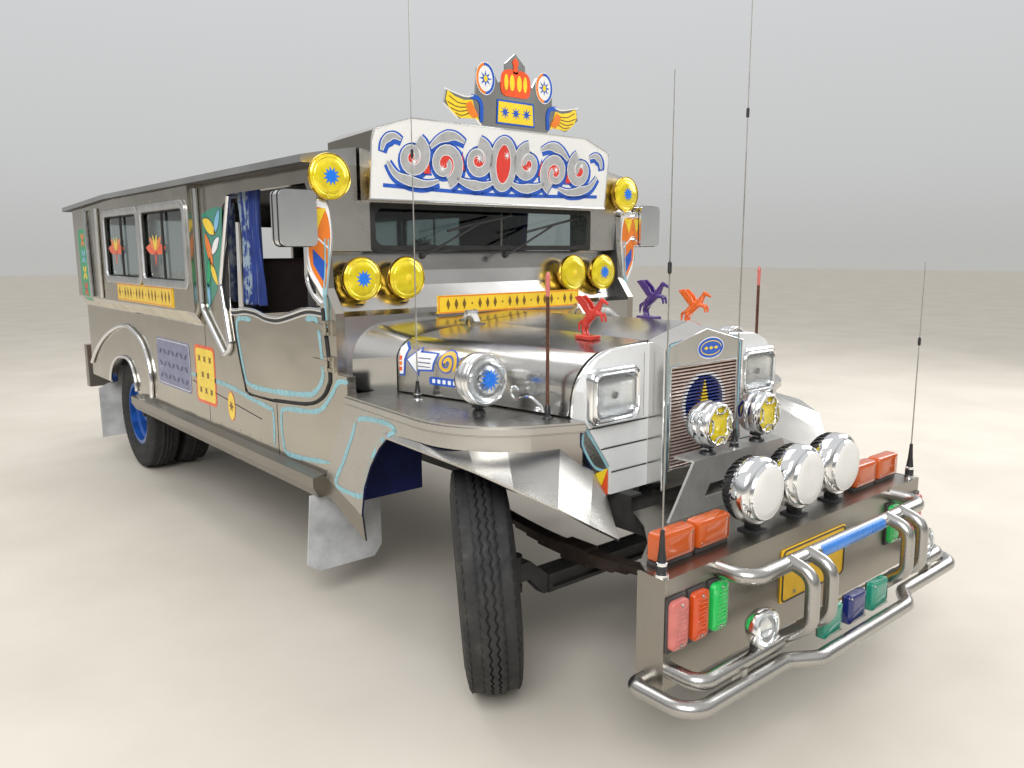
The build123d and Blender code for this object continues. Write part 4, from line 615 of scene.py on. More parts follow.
def front_wheel_place(side):
    """Middle of a front wheel, and the turn from Z to its outward axle."""
    steer = Matrix.Rotation(-LOCK, 3, "Z")
    reach = Vector((side * SPINDLE_REACH * math.cos(CAMBER), 0, 0))
    centre = Vector((side * KINGPIN_X, FRONT_AXLE_Y, FRONT_HUB_Z)) + steer @ reach
    axle = steer @ Vector((side * math.cos(CAMBER), 0, -math.sin(CAMBER)))
    return centre, turn_to(axle)


def make_tyres():
    black = rubber()
    for word, side in SIDES:
        centre, turn = front_wheel_place(side)
        tyre_form(centre, turn).put(f"tyre_tread_front_{word}", black, f"wheel_front_{word}", slot="tyre",
                                    replaces=(f"tyre_front_{word}",))
        pair = Form()
        for x in TWINS_X:
            pair.joined(tyre_form(Vector((side * x, REAR_AXLE_Y, TYRE_RADIUS)), turn_to((side, 0, 0))))
        pair.put(f"tyre_treads_rear_{word}", black, f"wheel_rear_{word}", slot="tyre",
                 replaces=(f"tyres_rear_{word}",))


# Smooth lines and flat painted shapes
def points_of(*pairs):
    return [Vector(pair) for pair in pairs]


def on_side(side, points):
    """Points given for the left side, on the left or on the right."""
    return [Vector((side * x, *rest)) for x, *rest in points]


def around(centre, angle, wide, tall):
    """Flat point at an angle round a centre."""
    return Vector((centre[0] + wide * math.cos(angle), centre[1] + tall * math.sin(angle)))


def smooth_line(points, steps=6, closed=False):
    """Curve through points, as more points."""
    points = [Vector(point) for point in points]
    count = len(points)
    found = []
    spans = count if closed else count - 1
    for index in range(spans):
        if closed:
            p0, p1, p2, p3 = (points[(index + k) % count] for k in (-1, 0, 1, 2))
        else:
            p0, p1 = points[max(0, index - 1)], points[index]
            p2, p3 = points[index + 1], points[min(count - 1, index + 2)]
        for step in range(steps):
            t = step / steps
            found.append(0.5 * ((2 * p1) + (p2 - p0) * t + (2 * p0 - 5 * p1 + 4 * p2 - p3) * t * t
                                + (3 * p1 - p0 - 3 * p2 + p3) * t ** 3))
    if not closed:
        found.append(points[-1])
    return found


def band(points, width):
    """Strip of a given width along flat points, with pointed or full ends: (points, faces)."""
    count = len(points)
    widths = width if isinstance(width, (list, tuple)) else [width] * count
    left, right = [], []
    for index, point in enumerate(points):
        before, after = points[max(0, index - 1)], points[min(count - 1, index + 1)]
        along = (after - before).normalized()
        across = Vector((-along.y, along.x)) * (widths[index] / 2.0)
        left.append(point + across)
        right.append(point - across)
    faces = [(i, i + 1, count + i + 1, count + i) for i in range(count - 1)]
    return left + right, faces


def filled(outline):
    """Flat shape inside a closed outline: (points, faces)."""
    return list(outline), tessellate_polygon([[Vector((p[0], p[1], 0)) for p in outline]])


class Panel:
    """A flat or curved place for paint: turns (u, v) and a lift into a point."""

    def __init__(self, place, name, body="chassis"):
        self.place = place
        self.name = name
        self.body = body
        self.layers = {}

    def paint(self, finish, shape, lift=0.0008):
        points, faces = shape
        form = self.layers.setdefault(finish.name, (finish, Form()))[1]
        made = [self.place(p[0], p[1], lift) for p in points]
        facing = self.place(points[0][0], points[0][1], 1.0) - self.place(points[0][0], points[0][1], 0.0)
        turned = []
        for face in faces:
            a, b, c = (made[index] for index in face[:3])
            out = (b - a).cross(c - a).dot(facing) >= 0
            turned.append(face if out else tuple(reversed(face)))
        form.add(made, turned)

    def fill(self, finish, outline, lift=0.0008):
        self.paint(finish, filled(outline), lift)

    def line(self, finish, points, width, lift=0.0008):
        self.paint(finish, band(points, width), lift)

    def finish(self):
        for index, (finish, form) in enumerate(self.layers.values()):
            form.put(f"{self.name}_{index}", finish, self.body, smooth=False)


def spiral(centre, start, end, turns_from, turns_to, steps=26):
    """Flat spiral from one radius to another."""
    found = []
    for step in range(steps + 1):
        share = step / steps
        angle = 2 * math.pi * (turns_from + (turns_to - turns_from) * share)
        radius = start + (end - start) * share
        found.append(around(centre, angle, radius, radius))
    return found


def star(centre, outer, inner, arms, turn=0.0):
    """Flat star with pointed arms."""
    found = []
    for step in range(2 * arms):
        radius = inner if step % 2 else outer
        found.append(around(centre, math.pi * step / arms + turn, radius, radius))
    return found


def oval(centre, wide, tall, steps=36):
    return [around(centre, 2 * math.pi * step / steps, wide, tall) for step in range(steps)]


def grown(outline, amount):
    """Closed outline pushed outwards by an amount."""
    count = len(outline)
    area = sum(outline[i].x * outline[(i + 1) % count].y - outline[(i + 1) % count].x * outline[i].y
               for i in range(count))
    sign = 1.0 if area > 0 else -1.0
    found = []
    for index, point in enumerate(outline):
        before, after = outline[index - 1], outline[(index + 1) % count]
        first = (point - before).normalized()
        second = (after - point).normalized()
        across = Vector((first.y + second.y, -first.x - second.x))
        across.normalize()
        found.append(point + across * (sign * amount))
    return found


# Headboard: halves of its outlines, and the curls, leaves and red fields of its ornament
FACE_HALF = ((0.7, 1.762), (0.7, 1.995), (0.686, 2.042), (0.516, 2.098))
RIM_HALF = ((0.702, 1.764), (0.702, 1.996), (0.688, 2.044), (0.517, 2.101))
# Middle x and z, first and last radius, first and last turn
CURLS = ((0.15, 1.955, 0.075, 0.018, 0.25, 1.55), (0.33, 1.925, 0.082, 0.018, 0.7, -0.62),
         (0.5, 1.945, 0.072, 0.016, 0.3, 1.62))
# Greatest width, then the middle line
LEAVES = ((0.04, ((0.055, 1.86), (0.12, 1.842), (0.2, 1.848), (0.262, 1.868))),
          (0.04, ((0.23, 2.025), (0.29, 2.046), (0.36, 2.03), (0.412, 1.99))),
          (0.038, ((0.36, 1.852), (0.43, 1.836), (0.51, 1.846), (0.58, 1.868), (0.625, 1.92))),
          (0.028, ((0.56, 2.01), (0.6, 2.022), (0.64, 1.998), (0.652, 1.96))))
# Middle x and z, half width and half height
RED_OVALS = ((0.15, 1.955, 0.045, 0.048), (0.5, 1.945, 0.044, 0.046), (0.33, 1.925, 0.05, 0.052))
RED_TIPS = (((0.255, 1.905), (0.238, 1.975), (0.222, 1.905)), ((0.405, 1.88), (0.42, 1.95), (0.44, 1.88)))
UNDERLINE = ((-0.64, 1.822), (-0.3, 1.812), (0.0, 1.806), (0.3, 1.812), (0.64, 1.822))
SPARKS = ((0.018, 1.985), (-0.145, 1.962), (0.16, 1.93), (0.335, 1.94), (-0.345, 1.905), (0.508, 1.968),
          (-0.492, 1.925))


def headboard_place(x, z, lift):
    y = 0.94 - 0.04 * (z - 1.759) / 0.351
    return Vector((x, y - lift * 0.9936, z - lift * 0.113))


def make_headboard():
    """White face with a scrolled ornament in silver, blue and red, and a bright edge round it."""
    panel = Panel(headboard_place, "headboard_paint")
    panel.fill(WHITE_PAINT, on_side(1, FACE_HALF) + on_side(-1, reversed(FACE_HALF)), 0.0012)
    silver, red = [], []
    for side in (-1, 1):
        for x, z, outer, inner, first, last in CURLS:
            curl = on_side(side, spiral((x, z), outer, inner, first, last))
            silver.append((curl, [0.05 - 0.032 * k / (len(curl) - 1) for k in range(len(curl))]))
        for width, path in LEAVES:
            line = smooth_line(on_side(side, path))
            middle = (len(line) - 1) / 2.0
            silver.append((line,
                           [width * (1.0 - 0.75 * abs(k - middle) / middle) for k in range(len(line))]))
        red += [oval((side * x, z), wide, tall, 24) for x, z, wide, tall in RED_OVALS]
        red += [on_side(side, tip) for tip in RED_TIPS]
    ring = oval((0.0, 1.945), 0.062, 0.105)
    silver.append((ring + ring[:1], [0.032] * (len(ring) + 1)))
    red.append(oval((0.0, 1.945), 0.05, 0.092))
    for line, widths in silver:
        backing = [w + 0.034 for w in widths]
        panel.line(BLUE_PAINT, [p + Vector((0.004, -0.007)) for p in line], backing, 0.0022)
    panel.line(BLUE_PAINT, smooth_line(UNDERLINE), 0.016, 0.0022)
    for shape in red:
        panel.fill(BLUE_PAINT, grown(shape, 0.012), 0.0022)
        panel.fill(RED_PAINT, shape, 0.003)
    for line, widths in silver:
        panel.line(SPARK_WHITE, line, [w + 0.007 for w in widths], 0.0037)
        panel.line(SILVER_PAINT, line, widths, 0.0044)
    for spot in SPARKS:
        panel.fill(SPARK_WHITE, star(spot, 0.024, 0.005, 8, 0.2), 0.0052)
    panel.finish()
    rim = on_side(-1, RIM_HALF) + on_side(1, reversed(RIM_HALF))
    for name, line, radius, segments in (("moulding", (rim[0], rim[-1]), 0.005, 12), ("rim", rim, 0.003, 8)):
        edge = Form().tube([headboard_place(x, z, 0.002) for x, z in line], radius, segments)
        edge.put(f"headboard_{name}", CHROME, smooth=False, slot="chrome")


# Crest board: painted shapes as (x, z), those of one side for the left
CREST_X = 0.1
CREST_Y = 0.945
WING = ((0.215, 2.128), (0.235, 2.16), (0.255, 2.218), (0.3, 2.212), (0.35, 2.222), (0.392, 2.244),
        (0.402, 2.205), (0.385, 2.17), (0.35, 2.143), (0.32, 2.133), (0.24, 2.138))
SHOULDER = ((0.222, 2.15), (0.262, 2.212), (0.292, 2.198), (0.282, 2.16), (0.252, 2.138))
QUILLS = (((0.29, 2.196), (0.385, 2.222)), ((0.288, 2.183), (0.392, 2.196)),
          ((0.284, 2.17), (0.378, 2.172)), ((0.276, 2.158), (0.352, 2.152)))
HOOK = ((0.262, 2.232), (0.222, 2.226), (0.204, 2.196), (0.206, 2.126))
WING_EDGE = ((0.41, 2.25), (0.3, 2.228), (0.25, 2.236))
CROWN = ((-0.078, 2.262), (-0.092, 2.32), (-0.078, 2.362), (-0.03, 2.378), (0.0, 2.366), (0.03, 2.378),
         (0.078, 2.362), (0.092, 2.32), (0.078, 2.262), (0.0, 2.256))
KNOB = ((-0.014, 2.362), (-0.012, 2.392), (-0.018, 2.412), (0.0, 2.43), (0.018, 2.412), (0.012, 2.392),
        (0.014, 2.362))
PLAQUE = ((-0.118, 2.128), (0.118, 2.128), (0.112, 2.238), (-0.112, 2.238))


def crest_place(x, z, lift):
    return Vector((x + CREST_X, CREST_Y - lift, z))


def make_crest():
    """Painted faces on the crest board: wings, crown, two ovals with stars and a blank plaque."""
    panel = Panel(crest_place, "crest_paint")
    for side in (-1, 1):
        panel.fill(YELLOW_PAINT, on_side(side, WING), 0.0015)
        panel.fill(ORANGE_PAINT, on_side(side, SHOULDER), 0.0024)
        for start, end in QUILLS:
            bow = ((start[0] + end[0]) / 2, (start[1] + end[1]) / 2 - 0.01)
            panel.line(BROWN_PAINT, smooth_line(on_side(side, (start, bow, end))), 0.0045, 0.0024)
        panel.line(BLUE_PAINT, smooth_line(on_side(side, HOOK)), 0.02, 0.0028)
        centre = (side * 0.18, 2.318)
        ring = oval(centre, 0.047, 0.062)
        panel.fill(WHITE_PAINT, oval(centre, 0.056, 0.072), 0.0026)
        panel.line(ORANGE_PAINT, ring[10:28], 0.012, 0.0032)
        panel.line(BLUE_PAINT, ring[27:] + ring[:11], 0.012, 0.0032)
        panel.fill(BLUE_PAINT, star(centre, 0.036, 0.014, 8), 0.0036)
        panel.fill(YELLOW_PAINT, oval(centre, 0.011, 0.014, 16), 0.0042)
        panel.line(WHITE_PAINT, smooth_line(on_side(side, WING_EDGE)), 0.005, 0.003)
    for shape in (CROWN, KNOB):
        panel.fill(RED_ORANGE, smooth_line(shape, 5, True), 0.0026)
    for x, wide in ((-0.058, 0.012), (-0.022, 0.015), (0.022, 0.015), (0.058, 0.012)):
        panel.fill(YELLOW_PAINT, oval((x, 2.318), wide, 0.036, 20), 0.0034)
    plaque = points_of(*PLAQUE)
    panel.fill(BLUE_PAINT, plaque, 0.0026)
    panel.fill(YELLOW_PAINT, grown(plaque, -0.012), 0.0033)
    for x in (-0.066, 0.0, 0.066):
        panel.fill(BLUE_PAINT, star((x, 2.183), 0.03, 0.011, 8), 0.004)
    panel.finish()


# Round lamps: profiles are (radius, distance forwards)
GOLD_CUP = ((0.0885, 0.0015), (0.0905, 0.0028), (0.092, 0.0), (0.092, -0.012), (0.09, -0.016),
            (0.088, -0.024), (0.078, -0.044), (0.05, -0.058), (0.0001, -0.06))
RINGED_DOME = ((0.0002, 0.0125), (0.03, 0.0117), (0.052, 0.0095), (0.069, 0.0066), (0.072, 0.004),
               (0.076, 0.0058), (0.083, 0.003), (0.0885, -0.001))
DOME_CAP = ((0.0002, 0.015), (0.009, 0.0143), (0.015, 0.012))
FENDER_CUP = ((0.08, -0.006), (0.084, 0.001), (0.0895, 0.002), (0.093, -0.002), (0.0945, -0.008),
              (0.093, -0.013), (0.0905, -0.016), (0.0935, -0.019), (0.0945, -0.026), (0.093, -0.033),
              (0.0905, -0.036), (0.0925, -0.04), (0.0925, -0.056), (0.088, -0.074), (0.07, -0.094),
              (0.038, -0.107), (0.0001, -0.11))
FENDER_BOWL = ((0.0001, -0.055), (0.032, -0.05), (0.056, -0.038), (0.074, -0.02), (0.082, -0.006))
FENDER_BULB = ((0.0001, -0.014), (0.013, -0.015), (0.015, -0.022), (0.013, -0.048))
FENDER_FOOT = ((0.0001, 0.062), (0.01, 0.062), (0.012, 0.02), (0.022, 0.012), (0.024, 0.0), (0.0001, 0.0))
DRIVING_RIM = ((0.0845, 0.004), (0.088, 0.0045), (0.092, -0.001), (0.0935, -0.006), (0.102, -0.01),
               (0.109, -0.017), (0.1118, -0.028), (0.1118, -0.058), (0.108, -0.064), (0.106, -0.07))
DRIVING_COVER = ((0.0002, 0.0098), (0.03, 0.0095), (0.06, 0.0085), (0.082, 0.0062), (0.086, 0.0035),
                 (0.085, -0.004))
DRIVING_BACK = ((0.107, -0.064), (0.103, -0.08), (0.09, -0.1), (0.07, -0.118), (0.045, -0.129),
                (0.0001, -0.13))
# Cooling fins: outer radius and distance back, inner radius and distance back
FIN_STATIONS = ((0.109, 0.066, 0.1, 0.066), (0.1075, 0.084, 0.098, 0.084), (0.095, 0.104, 0.085, 0.102),
                (0.074, 0.122, 0.065, 0.118))
FINS = 34
# Yellow lamps: x, y, z and whether a star is on the lens
YELLOW_LAMPS = ((0.51, 0.965, 1.435, False), (0.732, 0.965, 1.435, True), (0.878, 0.94, 1.845, True))
DRIVING_LAMPS = (-0.25, 0.0, 0.25)


def flat_star(form, centre, outline, ahead):
    """Star on a lamp's front, a little ahead of the lamp's centre."""
    points, faces = filled(outline)
    form.add([Vector(centre) + Vector((p.x, -ahead, p.y)) for p in points], faces)


def make_yellow_lamps():
    """Six yellow lamps with bright rims; the outer ones have a blue star in the middle."""
    shells, lenses, stars, caps, feet = (Form() for _ in range(5))
    for side in (-1, 1):
        for x, y, z, starred in YELLOW_LAMPS:
            middle = side * x
            centre = (middle, y, z)
            shells.lathe(GOLD_CUP, centre, 40)
            lenses.lathe(RINGED_DOME, centre, 40)
            if starred:
                flat_star(stars, centre, star((0, 0), 0.038, 0.021, 11), 0.0128)
            else:
                caps.lathe(DOME_CAP, centre, 24)
            if z < 1.6:
                feet.box(middle, 0.012, (y + 0.04, y + 0.07), (z - 0.108, z - 0.06), 0.003)
                feet.box(middle, 0.02, (y + 0.03, y + 0.078), (z - 0.116, z - 0.106), 0.003)
            else:
                middle = side * (x + 0.002)
                feet.box(middle, 0.014, (y + 0.045, 1.002), (z - 0.03, z + 0.03), 0.003)
    shells.put("yellow_lamp_shells", GOLD_SHELL, replaces=("cab_lamps",))
    lenses.put("yellow_lamp_lenses", YELLOW_DOME)
    caps.put("yellow_lamp_caps", YELLOW_PAINT)
    stars.put("yellow_lamp_stars", STAR_BLUE, smooth=False)
    feet.put("yellow_lamp_feet", BLACK_PLASTIC)


def make_fender_lamps():
    """Deep chrome lamps on the fenders, with a mirror bowl, clear glass and a blue star."""
    shells, glass, bowls, stars, feet = (Form() for _ in range(5))
    domed = [(0.081 * step / 8, 0.005 * (1.0 - (step / 8) ** 2) - 0.003) for step in range(9)]
    for side in (-1, 1):
        x = side * 0.74
        centre = (x, 0.12, 1.106)
        shells.lathe(FENDER_CUP, centre, 48)
        bowls.lathe(FENDER_BOWL, centre, 40)
        bowls.lathe(FENDER_BULB, centre, 20)
        glass.lathe(domed + [(0.081, -0.0032)], centre, 40)
        flat_star(stars, centre, star((0.012 * -side, 0.0), 0.044, 0.022, 13), 0.0035)
        feet.lathe(FENDER_FOOT, (x, 0.168, 0.979), 24, UPWARDS)
        feet.box(x, 0.02, (0.15, 0.186), (1.0, 1.022), 0.004)
    shells.put("fender_lamp_shells", CHROME, slot="chrome")
    bowls.put("fender_lamp_bowls", MIRROR_BOWL)
    glass.put("fender_lamp_glass", CLEAR_GLASS, slot="glass")
    stars.put("fender_lamp_stars", STAR_BLUE, smooth=False)
    feet.put("fender_lamp_feet", BLACK_PLASTIC)


def make_driving_lamps():
    """Three covered lamps on the bumper: chrome rims, white covers and finned black backs."""
    rims, covers, backs, feet = (Form() for _ in range(4))
    for x in DRIVING_LAMPS:
        centre = Vector((x, -0.69, 0.787))
        rims.lathe(DRIVING_RIM, centre, 56)
        covers.lathe(DRIVING_COVER, centre, 48)
        backs.lathe(DRIVING_BACK, centre, 40)
        for fin in range(FINS):
            angle = 2 * math.pi * fin / FINS
            out = Vector((math.cos(angle), 0, math.sin(angle)))
            across = Vector((-math.sin(angle), 0, math.cos(angle))) * 0.0028
            rows = []
            for outer, outer_back, inner, inner_back in FIN_STATIONS:
                top = centre + out * outer + Vector((0, outer_back, 0))
                root = centre + out * inner + Vector((0, inner_back, 0))
                rows.append([root + across, top + across, top - across, root - across])
            backs.grid(rows, round_columns=True)
        feet.box(x, 0.016, (-0.662, -0.618), (0.65, 0.7), 0.004)
        feet.box(x, 0.034, (-0.676, -0.604), (0.648, 0.658), 0.003)
    rims.put("driving_lamp_rims", CHROME, slot="chrome", replaces=("driving_lamps",))
    covers.put("driving_lamp_covers", COVER_WHITE)
    backs.put("driving_lamp_backs", BLACK_PLASTIC, slot="black_plastic")
    feet.put("driving_lamp_feet", BLACK_PLASTIC)


# Rectangles with round corners
def rounded(wide, tall, corner, steps=6):
    """Outline of a rectangle with round corners, anticlockwise from its upper right."""
    found = []
    for u, v, first in ((1, 1, 0), (-1, 1, 90), (-1, -1, 180), (1, -1, 270)):
        for step in range(steps + 1):
            angle = math.radians(first + 90.0 * step / steps)
            found.append(Vector((u * (wide / 2 - corner) + corner * math.cos(angle),
                                 v * (tall / 2 - corner) + corner * math.sin(angle))))
    return found


def framed(form, centre, stations, shut=False):
    """Nested rounded rectangles that face forwards: stations of (width, height, corner, y)."""
    rows = [[(centre[0] + p.x, y, centre[1] + p.y) for p in rounded(wide, tall, corner)]
            for wide, tall, corner, y in stations]
    form.grid(rows, round_columns=True)
    if shut:
        last = len(form.points) - len(rows[-1])
        form.faces.append(tuple(range(last, len(form.points))))


# Headlamps: stations of (width, height, corner, y)
HEADLAMP = (0.429, 1.058)
BEZEL = ((0.252, 0.198, 0.04, -0.1795), (0.252, 0.198, 0.04, -0.196), (0.248, 0.194, 0.039, -0.202),
         (0.24, 0.186, 0.037, -0.205), (0.232, 0.178, 0.035, -0.203), (0.228, 0.174, 0.034, -0.199),
         (0.225, 0.171, 0.033, -0.2), (0.221, 0.167, 0.032, -0.2085), (0.214, 0.16, 0.031, -0.2118),
         (0.206, 0.152, 0.029, -0.2112), (0.2, 0.146, 0.027, -0.207), (0.197, 0.143, 0.026, -0.2),
         (0.196, 0.142, 0.026, -0.193))
HEADLAMP_BOWL = ((0.198, 0.144, 0.026, -0.1945), (0.19, 0.136, 0.03, -0.187), (0.16, 0.112, 0.04, -0.183),
                 (0.1, 0.076, 0.034, -0.1812), (0.05, 0.044, 0.02, -0.1806))
HEADLAMP_GLASS = ((0.1965, 0.1425, 0.026, -0.1985), (0.192, 0.138, 0.026, -0.203),
                  (0.16, 0.11, 0.024, -0.2062), (0.09, 0.06, 0.02, -0.2078), (0.03, 0.02, 0.008, -0.2082))


def make_headlamps():
    """Rectangular headlamps: a stepped chrome bezel, a mirror bowl and fluted glass."""
    bezels, bowls, bulbs, glass = (Form() for _ in range(4))
    for side in (-1, 1):
        x, z = side * HEADLAMP[0], HEADLAMP[1]
        framed(bezels, (x, z), BEZEL)
        framed(bowls, (x, z), HEADLAMP_BOWL, shut=True)
        bulbs.lathe([(0.0002, 0.014), (0.01, 0.013), (0.0125, 0.009), (0.0125, 0.0)], (x, -0.182, z), 20)
        framed(glass, (x, z), HEADLAMP_GLASS, shut=True)
    bezels.put("headlamp_bezels", CHROME, slot="chrome", replaces=("headlamps",))
    bowls.put("headlamp_bowls", MIRROR_BOWL, slot="chrome")
    bulbs.put("headlamp_bulb_caps", NUT_METAL)
    glass.put("headlamp_glass", FLUTED_GLASS, slot="glass")


# Fog lamps: profiles, and one loop of the guard as (distance from the middle, across)
FOG_LAMPS = (-0.151, 0.151)
FOG_CUP = ((0.067, 0.004), (0.068, 0.01), (0.0715, 0.014), (0.076, 0.013), (0.0795, 0.008), (0.0805, 0.0),
           (0.0805, -0.02), (0.0785, -0.024), (0.0805, -0.028), (0.08, -0.046), (0.076, -0.06),
           (0.064, -0.08), (0.042, -0.093), (0.0002, -0.097))
FOG_DOME = ((0.0002, 0.0105), (0.02, 0.01), (0.04, 0.0086), (0.058, 0.0062), (0.068, 0.004))
FOG_FOOT = ((0.0002, 0.042), (0.011, 0.042), (0.012, 0.018), (0.026, 0.01), (0.03, 0.0))
GUARD_LOOP = ((0.07, 0.026), (0.056, 0.0255), (0.044, 0.018), (0.0405, 0.0), (0.044, -0.018),
              (0.056, -0.0255), (0.07, -0.026))
GUARD_RADIUS = 0.073


def make_fog_lamps():
    """Two yellow lamps on the bracket: deep chrome shells with an eight-sided guard and its loops."""
    shells, lenses, guards, feet = (Form() for _ in range(4))
    for x in FOG_LAMPS:
        centre = Vector((x, -0.415, 0.95))
        shells.lathe(FOG_CUP, centre, 48)
        lenses.lathe(FOG_DOME, centre, 40)
        corners = [math.radians(22.5 + 45.0 * corner) for corner in range(8)]
        guards.tube([centre + Vector((GUARD_RADIUS * math.cos(a), -0.017, GUARD_RADIUS * math.sin(a)))
                     for a in corners], 0.0048, 8, closed=True)
        for turn in range(4):
            angle = math.radians(90.0 * turn)
            out = Vector((math.cos(angle), 0, math.sin(angle)))
            across = Vector((-math.sin(angle), 0, math.cos(angle)))
            loop = [centre + Vector((0, -0.0185, 0)) + out * u + across * v for u, v in GUARD_LOOP]
            guards.tube(smooth_line(loop, 4), 0.0042, 8)
        feet.lathe(FOG_FOOT, (x, -0.385, 0.8398), 24, UPWARDS)
        feet.box(x, 0.017, (-0.404, -0.362), (0.862, 0.878), 0.004)
    shells.put("fog_lamp_shells", CHROME, slot="chrome")
    lenses.put("fog_lamp_lenses", FOG_YELLOW, slot="yellow_lens")
    guards.put("fog_lamp_guards", CHROME, slot="chrome")
    feet.put("fog_lamp_feet", BLACK_PLASTIC, slot="black_plastic")


# Small lamps: places on the bumper's deck as (from, to), the others by x and by lens
DECK_LAMPS = ((0.396, 0.56), (0.574, 0.735))
TRIPLE_LAMPS = ((0.556, "inner"), (0.65, "middle"), (0.744, "outer"))
BAR_LAMPS = ((-0.155, "bar"), (0.0, "bar_middle"), (0.155, "bar"))
TAIL_LAMPS = (0.64, 0.73, 0.82)
LENSES = (("outer_lamp_lenses", "outer", PINK_LENS), ("middle_lamp_lenses", "middle", RED_LENS),
          ("inner_lamp_lenses", "inner", GREEN_LENS), ("bar_lamp_lenses", "bar", SEA_LENS),
          ("bar_lamp_middle", "bar_middle", NAVY_LENS))
SCREW = ((0.0002, 0.004), (0.003, 0.0038), (0.0042, 0.0015), (0.0042, 0.0))
LONG_SCREW = ((0.0002, 0.0055), (0.003, 0.0052), (0.0048, 0.002), (0.0048, 0.0))
CORNER_RIM = ((0.05, -0.002), (0.051, 0.003), (0.055, 0.0055), (0.059, 0.003), (0.06, -0.003),
              (0.06, -0.016), (0.057, -0.024), (0.048, -0.04), (0.028, -0.056), (0.0002, -0.06))
CORNER_BOWL = ((0.0002, -0.034), (0.02, -0.032), (0.036, -0.022), (0.048, -0.008), (0.0505, -0.002))
CORNER_GLASS = ((0.0002, 0.0075), (0.018, 0.007), (0.034, 0.005), (0.046, 0.0015), (0.0505, -0.0015))
TAIL_DOME = ((0.0002, 0.03), (0.014, 0.0292), (0.025, 0.0262), (0.032, 0.0205), (0.033, 0.008))
TAIL_RIM = ((0.0325, 0.008), (0.033, 0.012), (0.0355, 0.013), (0.0362, 0.01), (0.0362, 0.0))


def lens_block(form, centre, wide, tall, back, front, corner=0.012):
    """Lens with round corners, a stepped rim and a crowned face, looking forwards."""
    framed(form, centre, [
        (wide, tall, corner, back), (wide, tall, corner, back * 0.35 + front * 0.65),
        (wide - 0.002, tall - 0.002, corner, back * 0.2 + front * 0.8),
        (wide - 0.007, tall - 0.007, corner * 0.8, front + 0.0025),
        (wide - 0.013, tall - 0.013, corner * 0.7, front + 0.0022),
        (wide - 0.018, tall - 0.018, corner * 0.6, front + 0.0002),
        (wide * 0.55, tall * 0.6, corner * 0.5, front - 0.0014)], shut=True)


def make_marker_lamps():
    """Orange pairs on the bumper's deck, three coloured lamps a side, three on the bull bar, tail lamps."""
    amber, bases, screws, rims, bowls, glass, tails = (Form() for _ in range(7))
    lenses = {kind: Form() for _, kind, _ in LENSES}
    for side in (-1, 1):
        for x0, x1 in DECK_LAMPS:
            x = side * (x0 + x1) / 2
            bases.box(x, 0.08, (-0.65, -0.606), (0.6495, 0.664), 0.003)
            lens_block(amber, (x, 0.7065), 0.162, 0.086, -0.612, -0.658)
            framed(amber, (x, 0.7065), [(0.15, 0.074, 0.01, -0.6055), (0.162, 0.086, 0.012, -0.612)])
            bases.box(x, 0.074, (-0.614, -0.604), (0.664, 0.742), 0.003)
            for end in (-1, 1):
                screws.lathe(SCREW, (x + end * 0.062, -0.6555, 0.7065 + end * 0.026), 12)
        for place, kind in TRIPLE_LAMPS:
            x = side * place
            bases.box(x, 0.042, (-0.7285, -0.7195), (0.434, 0.598), 0.003)
            lens_block(lenses[kind], (x, 0.516), 0.074, 0.146, -0.728, -0.747, 0.016)
            for step in range(9):
                z = 0.466 + 0.0125 * step
                lenses[kind].box(x, 0.022, (-0.7508, -0.747), (z - 0.0022, z + 0.0022), 0.0012, 1)
            for end in (-1, 1):
                screws.lathe(LONG_SCREW, (x, -0.7465, 0.516 + end * 0.06), 12)
        x = side * 0.52
        centre = (x, -0.876, 0.482)
        rims.lathe(CORNER_RIM, centre, 40)
        bowls.lathe(CORNER_BOWL, centre, 32)
        glass.lathe(CORNER_GLASS, centre, 32)
        bases.box(x, 0.009, (-0.846, -0.826), (0.402, 0.44), 0.003)
        for z in TAIL_LAMPS:
            tails.lathe(TAIL_DOME, (side * 0.78, 4.93, z), 28, BACKWARDS)
            rims.lathe(TAIL_RIM, (side * 0.78, 4.93, z), 28, BACKWARDS)
    for x, kind in BAR_LAMPS:
        lens_block(lenses[kind], (x, 0.395), 0.112, 0.1, -0.862, -0.888, 0.014)
        bases.box(x, 0.052, (-0.8625, -0.8545), (0.349, 0.441), 0.003)
        bases.box(x, 0.012, (-0.862, -0.838), (0.33, 0.352), 0.003)
        for end in (-1, 1):
            screws.lathe(SCREW, (x + end * 0.046, -0.8862, 0.395 - end * 0.04), 12)
    amber.put("deck_lamp_lenses", AMBER_LENS, slot="amber_lens", replaces=("marker_lamps",))
    for name, kind, finish in LENSES:
        lenses[kind].put(name, finish)
    bases.put("small_lamp_bases", BASE_PLASTIC)
    screws.put("small_lamp_screws", NUT_METAL)
    rims.put("small_lamp_rims", CHROME, slot="chrome")
    bowls.put("small_lamp_bowls", MIRROR_BOWL)
    glass.put("small_lamp_glass", CLEAR_GLASS, slot="glass")
    tails.put("tail_lamp_lenses", PINK_LENS)


